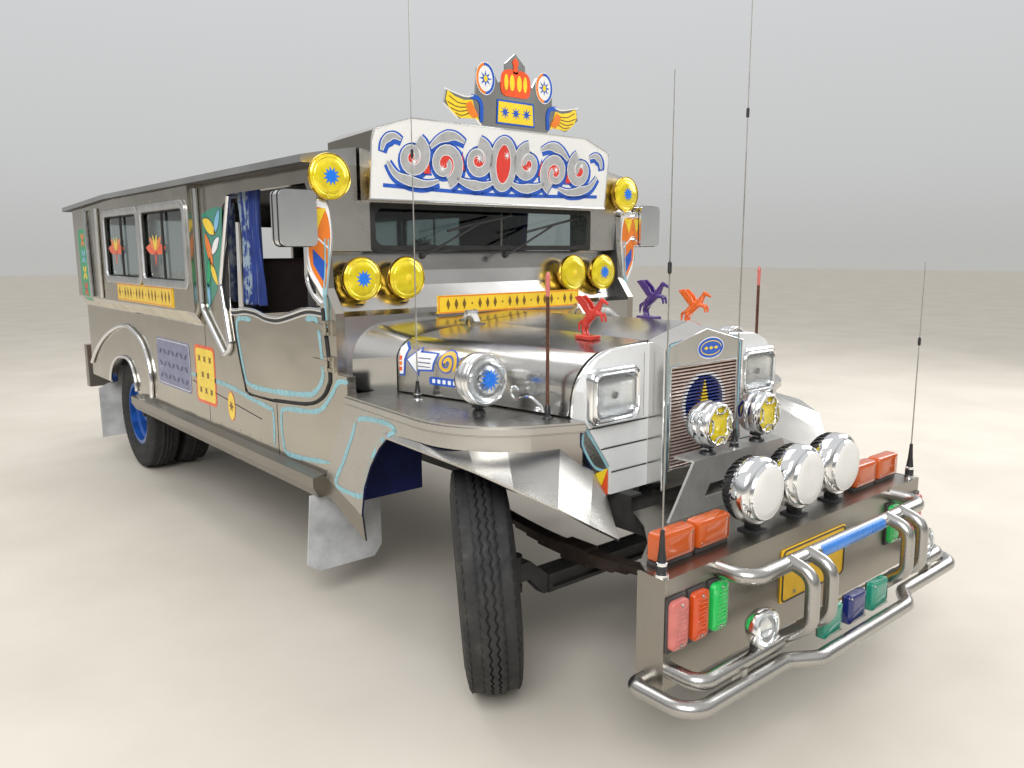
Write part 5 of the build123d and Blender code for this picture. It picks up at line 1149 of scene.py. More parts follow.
# Aerials: whips by x, y, foot height and tip height, and the profiles of their sockets, with
# heights as shares of the socket's own
WHIPS = ((-0.768, -0.69, 0.65, 2.0), (0.768, -0.69, 0.65, 1.5), (-0.738, 0.56, 0.98, 2.45),
         (0.0, -0.39, 0.84, 2.7))
RODS = ((-0.62, -0.06), (0.62, -0.06))
SOCKET_TOP = ((0.0002, 1.0), (0.006, 1.0), (0.009, 0.6), (0.0135, 0.32), (0.0145, 0.3))
SOCKET_RING = ((0.0145, 0.31), (0.016, 0.3), (0.016, 0.24), (0.014, 0.23))
SOCKET_FOOT = ((0.015, 0.24), (0.016, 0.2), (0.016, 0.08), (0.015, 0.06))
COIL = ((0.002, 0.034), (0.0056, 0.03), (0.0056, 0.004), (0.002, 0.0))
ROD_TIP = ((0.0002, 0.082), (0.004, 0.08), (0.0072, 0.07), (0.0078, 0.052), (0.0072, 0.034), (0.0066, 0.0))
ROD_SOCKET = ((0.0062, 0.05), (0.01, 0.044), (0.0115, 0.012), (0.018, 0.006), (0.019, 0.0))


def make_aerials():
    """Thin whips in black sockets, and two copper-coloured marker rods with red tips."""
    masts, sockets, rings, rods, tips = (Form() for _ in range(5))
    for x, y, foot, tip in WHIPS:
        tall = 0.135 if foot < 0.7 else 0.07
        for form, profile in ((sockets, SOCKET_TOP), (rings, SOCKET_RING), (sockets, SOCKET_FOOT)):
            form.lathe([(r, share * tall) for r, share in profile], (x, y, foot), 24, UPWARDS)
        rings.lathe([(0.0002, 0.065 * tall), (0.02, 0.06 * tall), (0.021, 0.0), (0.0002, -0.0005)],
                    (x, y, foot), 24, UPWARDS)
        height = tip - foot
        path = [(x, y, foot + height * share) for share in (0.02, 0.25, 0.5, 0.75, 1.0)]
        masts.tube(path, [0.0028, 0.0026, 0.0022, 0.0018, 0.0014], 8)
        sockets.lathe(COIL, (x, y, foot + 0.62 * height), 12, UPWARDS)
    for x, y in RODS:
        rods.tube([(x, y, 0.99), (x, y, 1.2), (x, y, 1.4)], 0.0062, 14)
        tips.lathe(ROD_TIP, (x, y, 1.398), 16, UPWARDS)
        sockets.lathe(ROD_SOCKET, (x, y, 0.9795), 20, UPWARDS)
    masts.put("aerial_whips", NUT_METAL, replaces=("aerials",))
    sockets.put("aerial_sockets", BLACK_PLASTIC, slot="black_plastic")
    rings.put("aerial_rings", CHROME, slot="chrome")
    rods.put("marker_rods", ROD_COPPER)
    tips.put("marker_rod_tips", PINK_LENS)


# Radiator shell and front panel: lines as (x, z), those of one side for the left
SHELL_LINE = ((0.219, 0.712), (0.219, 1.196), (0.205, 1.216), (0.12, 1.232))
SHELL_INNER_LINE = ((0.201, 0.76), (0.201, 1.14), (0.15, 1.147))
SHELL_MOUTH = ((-0.199, 0.759), (0.199, 0.759), (0.199, 1.137), (-0.199, 1.137), (-0.199, 0.759))
SHELL_EDGE = ((-0.2345, 0.69), (-0.2345, 1.205), (0.0, 1.262), (0.2345, 1.205), (0.2345, 0.69))
BADGE = (0.03, 1.19)
FASCIA_EDGE = ((0.553, 0.985), (0.562, 1.08), (0.541, 1.138), (0.497, 1.182), (0.428, 1.209), (0.236, 1.219))
# Plank lines: height, outer end
PLANKS = ((0.95, 0.54), (0.87, 0.48), (0.78, 0.426))


def shell_place(x, z, lift):
    return Vector((x, -0.25 - lift, z))


def make_shell_paint():
    """Pale-blue bands on the radiator shell and a blank oval badge with three diamonds."""
    panel = Panel(shell_place, "shell_paint")
    for side in (-1, 1):
        line = on_side(side, SHELL_LINE)
        panel.line(NAVY_PAINT, [p + Vector((side * 0.0006, 0)) for p in line], [0.016, 0.016, 0.014, 0.004])
        panel.line(STRIPE_PAINT, line, [0.01, 0.01, 0.009, 0.002], 0.0014)
        panel.line(STRIPE_PAINT, on_side(side, SHELL_INNER_LINE), [0.003, 0.003, 0.0015], 0.001)
    panel.fill(SPARK_WHITE, oval(BADGE, 0.081, 0.041), 0.0012)
    panel.fill(BLUE_PAINT, oval(BADGE, 0.077, 0.037), 0.002)
    for step in (-1, 0, 1):
        panel.fill(YELLOW_PAINT, star((BADGE[0] + 0.03 * step, BADGE[1]), 0.013, 0.007, 2), 0.0028)
    panel.line(YELLOW_PAINT, oval(BADGE, 0.062, 0.026, 40)[:38], 0.0035, 0.0028)
    panel.finish()
    beading = Form()
    beading.tube([(x, -0.2515, z) for x, z in SHELL_MOUTH], 0.0035, 8)
    beading.tube([(x, -0.2505, z) for x, z in SHELL_EDGE], 0.0035, 8)
    beading.put("shell_beading", CHROME, slot="chrome")


def make_fascia_trim():
    """Rolled bright edge between the front panel and the hood, and dark plank lines."""
    edge = Form()
    panel = Panel(lambda x, z, lift: Vector((x, -0.18 - lift, z)), "fascia_lines")
    for side in (-1, 1):
        line = [(side * x, -0.106 - 0.236 * max(0.0, z - 0.975), z) for x, z in FASCIA_EDGE]
        edge.tube(smooth_line(line), 0.0062, 10)
        for z, reach in PLANKS:
            panel.fill(SEAM_AND_SHADE_DARK, on_side(side, ((0.238, z - 0.0022), (reach, z - 0.0022),
                                                 (reach, z + 0.0022), (0.238, z + 0.0022))))
        panel.line(SEAM_AND_SHADE_DARK, on_side(side, ((0.262, 1.19), (0.262, 0.96))), 0.0016)
    edge.put("fascia_edge", CHROME, slot="chrome")
    panel.finish()


def make_bar_badge():
    """Blank blue band round the front of the bull bar's upper tube."""
    angles = [math.radians(-62.0 + 124.0 * k / 12) for k in range(13)]
    rows = [[(x, -0.84 - reach * math.cos(a), 0.625 + reach * math.sin(a)) for a in angles]
            for x, reach in ((0.205, 0.0243), (0.203, 0.0262), (-0.203, 0.0262), (-0.205, 0.0243))]
    Form().grid(rows).put("bar_badge", BADGE_BLUE)


# Paint that follows a solid
def sliced(shape, step):
    """The same flat shape cut along a square net, so that it can follow a curve."""
    points, faces = shape
    flat = bmesh.new()
    corners = [flat.verts.new((p[0], p[1], 0)) for p in points]
    for face in faces:
        flat.faces.new([corners[index] for index in face])
    for axis, normal in ((0, (1, 0, 0)), (1, (0, 1, 0))):
        low = min(p[axis] for p in points)
        high = max(p[axis] for p in points)
        cut = math.ceil(low / step) * step
        while cut < high:
            place = (cut, 0, 0) if axis == 0 else (0, cut, 0)
            bmesh.ops.bisect_plane(flat, geom=flat.verts[:] + flat.edges[:] + flat.faces[:],
                                   plane_co=place, plane_no=normal, dist=1e-7)
            cut += step
    flat.verts.ensure_lookup_table()
    flat.verts.index_update()
    made = ([Vector((v.co.x, v.co.y)) for v in flat.verts], [[v.index for v in f.verts] for f in flat.faces])
    flat.free()
    return made


def skin_of(*names):
    """Search tree of solids' faces, in places from the front axle line."""
    points, faces = [], []
    for name in names:
        node = NODES[name]
        first = len(points)
        points.extend(node.matrix_world @ v.co - Vector((0, BACK, 0)) for v in node.data.vertices)
        faces.extend([first + index for index in face.vertices] for face in node.data.polygons)
    return BVHTree.FromPolygons(points, faces)


def dropped(skin, origin, towards):
    """Place that drops (u, v) from an origin along a direction on to a solid, then lifts it off."""
    towards = Vector(towards)

    def place(u, v, lift):
        start = Vector(origin(u, v))
        hit, normal = skin.ray_cast(start, towards)[:2]
        if hit is None:
            hit, normal = skin.find_nearest(start + towards * 0.5)[:2]
        if normal.dot(towards) > 0:
            normal = -normal
        return hit + normal * lift
    return place


def dropped_on_side(node, side, away=1.3):
    """Place for (y, z) that drops sideways on to a solid from the outside."""
    return dropped(skin_of(node), lambda y, z: (side * away, y, z), (-side, 0, 0))


# Body sides
def flat_side(side, reach):
    """Upright place for (y, z) at a distance from the middle."""
    return lambda y, z, lift: Vector((side * (reach + lift), y, z))


def flat_front(side, reach):
    """Upright place for (x, z) that faces forwards, on one side."""
    return lambda x, z, lift: Vector((side * x, reach - lift, z))


def side_place(side):
    """Flat body side: the upper part from y 2.385 stands 50 mm further out, over a sloping ledge."""
    def place(y, z, lift):
        reach = 0.9 + lift
        if y > 2.385 and z > 1.15:
            reach += 0.05 * min(1.0, (z - 1.15) / 0.072)
        return Vector((side * reach, y, z))
    return place


def corner_box(low, high, corner=0.03):
    """Outline of an upright rectangle with round corners."""
    middle = Vector(((low[0] + high[0]) / 2, (low[1] + high[1]) / 2))
    return [middle + p for p in rounded(high[0] - low[0], high[1] - low[1], corner)]


# Pinstripes as (y, z)
LOWER_STRIPES = (((0.815, 1.03), (0.895, 1.02), (0.955, 0.965), (1.04, 0.895), (1.14, 0.862),
                  (1.41, 0.834), (1.462, 0.795), (1.455, 0.675), (1.39, 0.622), (0.99, 0.662)),
                 ((2.68, 0.86), (2.23, 0.86), (2.03, 0.852), (1.83, 0.83), (1.6, 0.812), (1.552, 0.79),
                  (1.555, 0.63)))
DOOR_STRIPE = ((1.75, 1.225), (1.9, 1.222), (1.935, 1.19), (1.925, 1.11), (1.87, 0.95), (1.815, 0.898),
               (1.55, 0.9), (1.21, 0.928), (1.115, 0.95), (1.04, 1.01), (1.03, 1.08), (1.056, 1.24),
               (1.09, 1.27), (1.17, 1.262))


def striped(panel, line, width, finish=None, lift=0.0008):
    """Brush-painted stripe whose width varies a little, with thin ends."""
    found = smooth_line(points_of(*line), 8)
    count = len(found)
    widths = []
    for index in range(count):
        wave = 1.0 + 0.1 * math.sin(index * 0.9) + 0.06 * math.sin(index * 2.3)
        widths.append(width * wave * min(1.0, 0.25 + 0.3 * min(index, count - 1 - index)))
    panel.paint(finish or STRIPE_PAINT, band(found, widths), lift)


# Body side: dark seams by width and points, the painted field behind the door, the rear flowers and painted
# shade behind the cab opening
SEAMS = ((0.005, ((1.69, 0.742), (2.2, 0.786), (2.64, 0.824))), (0.005, ((1.507, 0.56), (1.507, 0.845))),
         (0.004, ((2.392, 0.62), (2.392, 1.15))))
LEDGE = ((2.4, 1.16), (4.9, 1.16), (4.9, 1.226), (2.4, 1.226))
ART_FIELD = ((2.325, 1.745), (2.14, 1.775), (2.015, 1.75), (2.03, 1.65), (2.15, 1.38), (2.325, 1.24))
# Middle y and z, length, width, turn and paint
ART_LEAVES = ((2.23, 1.68, 0.19, 0.07, 0.4, YELLOW_PAINT), (2.12, 1.7, 0.15, 0.05, 2.2, SKY_PAINT),
              (2.25, 1.56, 0.2, 0.066, 1.1, ORANGE_PAINT), (2.16, 1.58, 0.15, 0.05, 2.5, SPARK_WHITE),
              (2.27, 1.44, 0.18, 0.056, 1.9, GREEN_PAINT), (2.2, 1.44, 0.16, 0.05, 0.9, YELLOW_PAINT),
              (2.29, 1.33, 0.13, 0.04, 1.5, SKY_PAINT))
REAR_FLOWERS = ((1.64, ORANGE_PAINT), (1.52, SKY_PAINT), (1.4, YELLOW_PAINT), (1.28, RED_PAINT))
# Painted shade: a black shape for the shadowed gap behind the cab opening, as (y, z)
PAINTED_GAP_SHADE = ((1.985, 1.8), (2.035, 1.775), (2.105, 1.41), (2.085, 1.19), (2.01, 1.285))


def petal(centre, long, wide, turn):
    """Leaf-shaped outline."""
    cos, sin = math.cos(turn), math.sin(turn)
    found = []
    for way, steps in ((1, range(13)), (-1, range(11, 0, -1))):
        for step in steps:
            share = step / 12
            u, v = long * (share - 0.5), way * wide * 0.5 * math.sin(math.pi * share) ** 0.8
            found.append(Vector((centre[0] + u * cos - v * sin, centre[1] + u * sin + v * cos)))
    return found


def make_side_paint():
    """Pinstripes, plain panels, the ledge's cream paint and leaf patterns on both body sides."""
    for name, side in SIDES:
        panel = Panel(side_place(side), f"side_paint_{name}")
        for line in LOWER_STRIPES:
            striped(panel, line, 0.022)
        for width, line in SEAMS:
            panel.line(SEAM_AND_SHADE_DARK, points_of(*line), width)
        panel.paint(CREAM_PAINT, sliced(filled(points_of(*LEDGE)), 0.25))
        panel.fill(GREY_PAINT, corner_box((2.66, 0.735), (3.26, 1.03)))
        panel.line(SPARK_WHITE, corner_box((2.672, 0.747), (3.248, 1.018)), 0.004, 0.0014)
        for row in range(3):
            for column in range(7):
                spot = (2.735 + 0.075 * column, 0.945 - 0.075 * row)
                panel.fill(NAVY_PAINT, petal(spot, 0.058, 0.026, 0.5 if (row + column) % 2 else -0.5),
                           0.0014)
        panel.fill(RED_ORANGE, corner_box((2.272, 0.712), (2.578, 1.04), 0.035))
        panel.fill(YELLOW_PAINT, corner_box((2.29, 0.73), (2.56, 1.022), 0.026), 0.0014)
        for z, count in ((0.965, 3), (0.876, 2), (0.787, 3)):
            for column in range(count):
                y = 2.425 + 0.08 * (column - (count - 1) / 2)
                panel.fill(BROWN_PAINT, star((y, z), 0.026, 0.012, 4, math.pi / 4), 0.002)
        panel.fill(RED_ORANGE, oval((2.07, 0.752), 0.05, 0.078))
        panel.fill(YELLOW_PAINT, oval((2.07, 0.752), 0.045, 0.073), 0.0014)
        panel.fill(BROWN_PAINT, star((2.07, 0.752), 0.034, 0.014, 6), 0.002)
        panel.fill(SEA_LENS, smooth_line(ART_FIELD))
        for y, z, long, wide, turn, finish in ART_LEAVES:
            panel.fill(NAVY_PAINT, petal((y, z), long + 0.012, wide + 0.012, turn), 0.0012)
            panel.fill(finish, petal((y, z), long, wide, turn), 0.0018)
        panel.fill(GREEN_PAINT, corner_box((4.56, 1.19), (4.81, 1.72), 0.05))
        for z, finish in REAR_FLOWERS:
            for turn in range(4):
                angle = math.radians(45 + 90 * turn)
                panel.fill(finish, petal(around((4.685, z), angle, 0.034, 0.034), 0.078, 0.034, angle),
                           0.0014)
        # Painted shade in the gap behind the cab opening
        panel.fill(BLACK_RUBBER_AND_SHADE, points_of(*PAINTED_GAP_SHADE))
        panel.finish()
        door = Panel(flat_side(side, 0.9), f"door_paint_{name}", f"door_{name}")
        striped(door, DOOR_STRIPE, 0.024)
        door.finish()


# Doors, front posts and windows: lines as (y, z)
DOOR_EDGE = ((1.006, 1.316), (0.964, 1.062), (0.986, 0.988), (1.06, 0.928), (1.2, 0.888), (1.53, 0.858),
             (1.828, 0.853), (1.877, 0.902), (1.957, 1.122), (1.988, 1.266))
DOOR_TOP = ((1.01, 1.318), (1.12, 1.32), (1.2, 1.31), (1.33, 1.283), (1.455, 1.262), (1.58, 1.263),
            (1.7, 1.28), (1.82, 1.284), (1.92, 1.274), (1.988, 1.268))


def make_door_trim():
    """Black edge rubber of each door, the double beading along its wavy top, and painted shade in the groove
    between the beads.
    """
    for name, side in SIDES:
        rubber, chrome, dark = (Form() for _ in range(3))
        edge = [(side * 0.901, y, z) for y, z in DOOR_EDGE]
        rubber.tube(smooth_line(edge[:6]), 0.0085, 8)
        rubber.tube(smooth_line(edge[5:]), 0.004, 8)
        top = smooth_line([(side * 0.8985, y, z - 0.01) for y, z in DOOR_TOP])
        # The third, dark tube fills the groove between the two chrome beads as painted shade
        for form, out, drop, radius, segments in ((chrome, 0.0, 0.0, 0.0095, 10),
                                                  (chrome, 0.001, 0.024, 0.0055, 8),
                                                  (dark, 0.0005, 0.0145, 0.005, 6)):
            form.tube([p + Vector((side * out, 0, -drop)) for p in top], radius, segments)
        body = f"door_{name}"
        rubber.put(f"door_rubber_{name}", BLACK_RUBBER_AND_SHADE, body, slot="black_plastic")
        chrome.put(f"door_beading_{name}", CHROME, body, slot="chrome")
        dark.put(f"door_groove_shade_{name}", SEAM_AND_SHADE_DARK, body)


# Front outline of the post panel, as (distance from the middle, height)
POST_FIELD = ((0.975, 1.735), (0.9, 1.75), (0.872, 1.7), (0.866, 1.6), (0.885, 1.48), (0.905, 1.365),
              (0.94, 1.41), (0.975, 1.48), (0.982, 1.58))
# Pale line below it, as (distance from the middle, height, share of the spread)
POST_LINE = ((0.884, 1.6, 1.0), (0.888, 1.48, 1.0), (0.905, 1.38, 0.6), (0.908, 1.3, 0.0),
             (0.905, 1.24, 0.0))
CAB_OPENING = ((1.122, 1.66), (1.122, 1.52), (1.12, 1.43), (1.07, 1.37), (0.995, 1.332))


def make_front_post():
    """Painted plate of each front post, the pale lines below it and the bright tube of the cab opening."""
    for name, side in SIDES:
        field = smooth_line(POST_FIELD, 4, closed=True)
        points, faces = filled(field)
        plate = Form()
        for y, turned in ((0.966, False), (0.969, True)):
            step = 1 if (side < 0) == turned else -1
            plate.add([(side * p.x, y, p.y) for p in points], [face[::step] for face in faces])
        plate.tube([(side * p.x, 0.9675, p.y) for p in field], 0.0042, 8, closed=True)
        plate.put(f"post_plate_{name}", CHROME, slot="chrome")
        panel = Panel(flat_front(side, 0.966), f"post_paint_{name}")
        centre = sum(field, Vector((0, 0))) / len(field)
        for finish, share, lift in ((SPARK_WHITE, 0.97, 0.001), (ORANGE_PAINT, 0.84, 0.0018)):
            panel.fill(finish, [centre + (p - centre) * share for p in field], lift)
        panel.fill(YELLOW_PAINT, points_of((0.955, 1.715), (0.89, 1.722), (0.93, 1.64)), 0.0026)
        panel.fill(BLUE_PAINT, points_of((0.955, 1.56), (0.895, 1.5), (0.915, 1.43), (0.955, 1.5)), 0.0026)
        panel.line(SPARK_WHITE, points_of((0.958, 1.625), (0.882, 1.56)), 0.007, 0.003)
        panel.finish()
        for spread in (0.0, 0.016):
            line = smooth_line([(side * (x + share * spread), 0.964, z) for x, z, share in POST_LINE])
            Form().tube(line, 0.0034, 8).put(f"post_line_{name}_{round(1000 * spread)}", STRIPE_PAINT)
        opening = smooth_line([(side * 0.9035, y, z) for y, z in CAB_OPENING], 8)
        Form().tube(opening, 0.0125).put(f"cab_opening_tube_{name}", CHROME, slot="chrome")


# Windows of the passenger body: (front, rear) of each bay
WINDOW_BAYS = ((2.45, 3.225), (3.285, 4.06))
WINDOW_LOW = 1.375
WINDOW_HIGH = 1.8
# Frame section: growth of the opening, corner radius and distance from the middle
FRAME_STATIONS = ((0.052, 0.052, 0.9505), (0.052, 0.052, 0.96), (0.044, 0.048, 0.9635),
                  (0.01, 0.04, 0.964), (-0.03, 0.034, 0.96), (-0.036, 0.03, 0.952), (-0.036, 0.03, 0.944))
# Leaves on the glass: turn, length and paint
GLASS_SPRAY = ((0.1, 0.2, RED_ORANGE), (3.04, 0.2, RED_ORANGE), (0.62, 0.15, ORANGE_PAINT),
               (2.52, 0.15, ORANGE_PAINT), (1.2, 0.11, YELLOW_PAINT), (1.94, 0.11, YELLOW_PAINT),
               (-1.57, 0.1, RED_PAINT))


def make_windows():
    """Wide aluminium frames, black rubbers and leaf-patterned glass in the body's windows."""
    for name, side in SIDES:
        frames, rubbers = Form(), Form()
        panel = Panel(flat_side(side, 0.944), f"glass_art_{name}")
        for front, rear in WINDOW_BAYS:
            middle, height = (front + rear) / 2, (WINDOW_LOW + WINDOW_HIGH) / 2
            rows = []
            for extra, corner, x in FRAME_STATIONS[::side]:
                outline = rounded(rear - front + extra, WINDOW_HIGH - WINDOW_LOW + extra, corner)
                rows.append([(side * x, middle + p.x, height + p.y) for p in outline])
            frames.grid(rows, round_columns=True)
            seal = rounded(rear - front - 0.04, WINDOW_HIGH - WINDOW_LOW - 0.04, 0.03)
            rubbers.tube([(side * 0.9455, middle + p.x, height + p.y) for p in seal], 0.0055, 6, closed=True)
            rubbers.tube([(side * 0.9465, middle, z)
                          for z in (WINDOW_LOW + 0.02, height, WINDOW_HIGH - 0.02)], 0.0075, 6)
            for layer, (turn, long, finish) in enumerate(GLASS_SPRAY):
                spot = around((middle + 0.15, height - 0.03), turn, 0.42 * long, 0.42 * long)
                panel.fill(finish, petal(spot, long, 0.3 * long, turn), 0.001 + 0.0004 * layer)
        frames.put(f"window_frames_{name}", ALUMINIUM, slot="aluminium_trim")
        rubbers.put(f"window_rubbers_{name}", BLACK_RUBBER_AND_SHADE, slot="black_plastic")
        panel.finish()


# Fenders, hood and windscreen
FENDER_STRIPE = ((0.735, 0.89), (0.66, 0.908), (0.5, 0.918), (0.43, 0.905), (0.45, 0.888), (0.525, 0.85),
                 (0.61, 0.77), (0.66, 0.69), (0.705, 0.6), (0.76, 0.572), (0.925, 0.572), (0.935, 0.61),
                 (0.88, 0.68), (0.8, 0.8), (0.75, 0.88))
NOSE_STRIPE = ((0.556, 0.945), (0.546, 0.948), (0.443, 0.808), (0.443, 0.79), (0.503, 0.812),
               (0.559, 0.895), (0.556, 0.945))
NOSE_YELLOW = ((0.498, 0.786), (0.436, 0.796), (0.468, 0.736))
NOSE_ORANGE = ((0.435, 0.796), (0.435, 0.7), (0.447, 0.702), (0.467, 0.736))


# Hood's sides, generic shapes as (y, z)
HOOD_BLOCK = ((0.83, 1.16), (0.79, 1.18), (0.745, 1.165), (0.72, 1.18), (0.69, 1.16), (0.7, 1.06),
              (0.815, 1.055))
HOOD_ARROW = ((0.675, 1.12), (0.62, 1.165), (0.62, 1.15), (0.53, 1.15), (0.545, 1.09), (0.62, 1.085),
              (0.62, 1.065))
# Gold scrolls: middle, first and last radius, first and last turn, widths of the blue and the gold
HOOD_SCROLLS = (((0.47, 1.12), 0.01, 0.046, 0.0, 1.6, 0.026, 0.015),
                ((0.385, 1.115), 0.008, 0.042, 0.5, 1.9, 0.024, 0.014))
# Hood latch as (x, y, z)
LATCH_ARM = ((0.64, 0.085, 1.03), (0.648, 0.04, 1.044), (0.65, -0.005, 1.05), (0.646, -0.05, 1.03),
             (0.64, -0.062, 1.006))
LATCH_HOOK = ((0.64, 0.085, 1.03), (0.644, 0.105, 1.046), (0.642, 0.104, 1.068), (0.64, 0.085, 1.074),
              (0.638, 0.07, 1.064))
LATCH_FOOT = ((0.0002, 0.012), (0.006, 0.012), (0.009, 0.006), (0.013, 0.003), (0.014, 0.0))


def make_fender_paint():
    """Stripes on each fender's side panel and nose, and two small shapes below the nose stripe."""
    for name, side in SIDES:
        flank = Panel(dropped_on_side(f"fender_{name}", side), f"fender_stripe_{name}")
        striped(flank, FENDER_STRIPE, 0.02)
        flank.finish()
        nose = Panel(flat_front(side, -0.172), f"nose_stripe_{name}")
        striped(nose, NOSE_STRIPE, 0.009)
        nose.fill(YELLOW_PAINT, points_of(*NOSE_YELLOW), 0.0014)
        nose.fill(RED_ORANGE, points_of(*NOSE_ORANGE), 0.0014)
        nose.finish()


def make_hood_art():
    """Generic shapes on the hood's sides: a striped block, a ribbed arrow, gold scrolls and a blue bar."""
    for name, side in SIDES:
        panel = Panel(dropped_on_side("hood", side, 1.2), f"hood_art_{name}", "hood")

        def curved(finish, shape, lift):
            panel.paint(finish, sliced(shape, 0.02), lift)

        for grow, finish, lift in ((0.01, BLUE_PAINT, 0.0012), (0.0, SPARK_WHITE, 0.0022)):
            for shape in (HOOD_BLOCK, HOOD_ARROW):
                outline = points_of(*shape)
                curved(finish, filled(grown(outline, grow) if grow else outline), lift)
        for row, finish in enumerate((RED_ORANGE, ORANGE_PAINT, RED_ORANGE)):
            z = 1.072 + 0.022 * row
            curved(finish, filled(points_of((0.812, z), (0.706, z), (0.706, z + 0.016),
                                            (0.812, z + 0.016))), 0.0032)
        for row in range(3):
            z = 1.098 + 0.016 * row
            curved(NAVY_PAINT, band(points_of((0.618, z), (0.552, z)), 0.003), 0.0032)
        for *curl, blue_width, gold_width in HOOD_SCROLLS:
            curved(BLUE_PAINT, band(spiral(*curl), blue_width), 0.0012)
            curved(GOLD_PAINT, band(spiral(*curl), gold_width), 0.0022)
        curved(BLUE_PAINT, filled(corner_box((0.36, 1.03), (0.56, 1.062), 0.012)), 0.0014)
        for column in range(6):
            y = 0.392 + 0.027 * column
            panel.fill(SPARK_WHITE, corner_box((y, 1.038), (y + 0.016, 1.054), 0.004), 0.0022)
        panel.finish()


def make_hood_latches():
    """Bright latch at each side of the hood."""
    for name, side in SIDES:
        latch = Form()
        latch.tube(smooth_line(on_side(side, LATCH_ARM), 5), 0.0055, 8)
        latch.tube(smooth_line(on_side(side, LATCH_HOOK), 5), 0.005, 8)
        latch.lathe(LATCH_FOOT, (side * 0.64, -0.03, 1.008), 16, UPWARDS)
        latch.put(f"hood_latch_{name}", CHROME, slot="chrome")


def make_wipers():
    """Black wiper arms and blades on the windscreen, and the rubber round its opening."""
    arms, seal = Form(), Form()
    framed(seal, (0.0, 1.6525), [(1.334, 0.203, 0.01, 0.9998), (1.33, 0.199, 0.01, 0.9978),
                                 (1.286, 0.165, 0.042, 0.9972), (1.278, 0.157, 0.04, 1.004)])
    seal.put("windscreen_rubber", BLACK_RUBBER_AND_SHADE, slot="rubber")
    blade = Vector((0.2, 0.01, 0.04))
    for x in (-0.42, 0.06):
        foot = Vector((x, 0.985, 1.53))
        tip = foot + Vector((0.36, 0.03, 0.15))
        arms.tube(smooth_line([foot, foot + Vector((0.05, -0.014, 0.02)), tip], 5), 0.005, 8)
        arms.tube([tip - blade, tip, tip + blade], 0.006, 8)
        arms.lathe([(0.0002, 0.022), (0.012, 0.02), (0.016, 0.008), (0.016, 0.0)], foot, 16)
    arms.put("wiper_arms", BLACK_PLASTIC, slot="black_plastic")


# Cloth and cushions
CURTAIN_X = 0.8397


def make_curtains():
    """Two blue curtains gathered behind the cab openings, with fine folds."""
    for name, side in SIDES:
        points, faces = [], []
        columns, rows = 68, 40
        for row in range(rows + 1):
            share = row / rows
            z = 1.85 - share * 0.56
            for column in range(columns + 1):
                along = column / columns
                pinch = 1.0 - 0.16 * math.sin(math.pi * share) - 0.05 * share
                y = 1.83 + (along - 0.5) * 0.265 * pinch
                fold = 0.011 * math.sin(along * math.pi * 17.0 + 0.7 * math.sin(share * 5.0 + along * 4.0))
                fold += 0.003 * math.sin(along * math.pi * 39.0 + share * 3.0)
                swing = 0.003 * math.sin(share * 6.0 + along * 2.0)
                x = side * (CURTAIN_X + fold * (0.75 + 0.25 * share) + swing)
                points.append((x, y, z + 0.004 * math.sin(along * 21.0)))
        for row in range(rows):
            for column in range(columns):
                a = row * (columns + 1) + column
                quad = (a, a + 1, a + columns + 2, a + columns + 1)
                faces.append(quad if side < 0 else tuple(reversed(quad)))
        cloth = put(f"curtain_{name}", points, faces, CURTAIN_CLOTH, replaces=("curtains",))
        thick = cloth.modifiers.new("thick", "SOLIDIFY")
        thick.thickness = 0.0014
        thick.offset = 0.0


def cushion(form, low, high, radius, crown, seams, axis, cells=36):
    """Closed cushion: round edges, a crowned face along an axis, and sewn channels at the seams.

    axis is (which way the crown faces, which way the seams step), each 0, 1 or 2.
    """
    crowned, across = axis
    shape = bmesh.new()
    bmesh.ops.create_cube(shape, size=2.0)
    bmesh.ops.subdivide_edges(shape, edges=shape.edges[:], cuts=cells, use_grid_fill=True)
    half = [(b - a) / 2 for a, b in zip(low, high)]
    middle = [(b + a) / 2 for a, b in zip(low, high)]
    for vertex in shape.verts:
        unit = vertex.co.copy()
        place = Vector([u * h for u, h in zip(unit, half)])
        core = Vector([max(-h + radius, min(h - radius, p)) for p, h in zip(place, half)])
        away = place - core
        if away.length > 1e-6:
            place = core + away.normalized() * radius
        facing = max(0.0, unit[crowned] * math.copysign(1.0, crown))
        others = [k for k in range(3) if k != crowned]
        swell = math.prod(1.0 - abs(unit[k]) ** 4 for k in others)
        rise = abs(crown) * swell
        along = middle[across] + unit[across] * half[across]
        for seam in seams:
            rise -= 0.9 * abs(crown) * math.exp(-((along - seam) / 0.012) ** 2) * swell
        place[crowned] += math.copysign(rise * facing, crown)
        vertex.co = place + Vector(middle)
    form.taken(shape)


def make_cushions():
    """Vinyl cab seat and passenger benches with sewn channels."""
    seat = Form()
    channels = [-0.64 + 0.16 * k for k in range(9)]
    cushion(seat, (-0.8, 1.54, 0.93), (0.8, 2.01, 1.052), 0.04, 0.02, channels, (2, 0))
    cushion(seat, (-0.8, 2.0, 0.99), (0.8, 2.108, 1.515), 0.036, -0.016, channels, (1, 0))
    made = seat.put("cab_seat_cushions", SEAT_VINYL, replaces=("cab_seat",))
    pads = Form()
    for side in (-1, 1):
        seams = [2.48 + 0.3 * k for k in range(8)]
        cushion(pads, (min(side * 0.407, side * 0.853), 2.202, 1.03),
                (max(side * 0.407, side * 0.853), 4.88, 1.116), 0.03, 0.01, seams, (2, 1), 48)
    made = pads.put("bench_cushions", SEAT_VINYL, replaces=("benches",))


# Hood figures: middle x, name and paint
FIGURES = ((-0.33, "red", FIGURE_RED), (0.07, "purple", PURPLE_PAINT), (0.29, "orange", FIGURE_ORANGE))


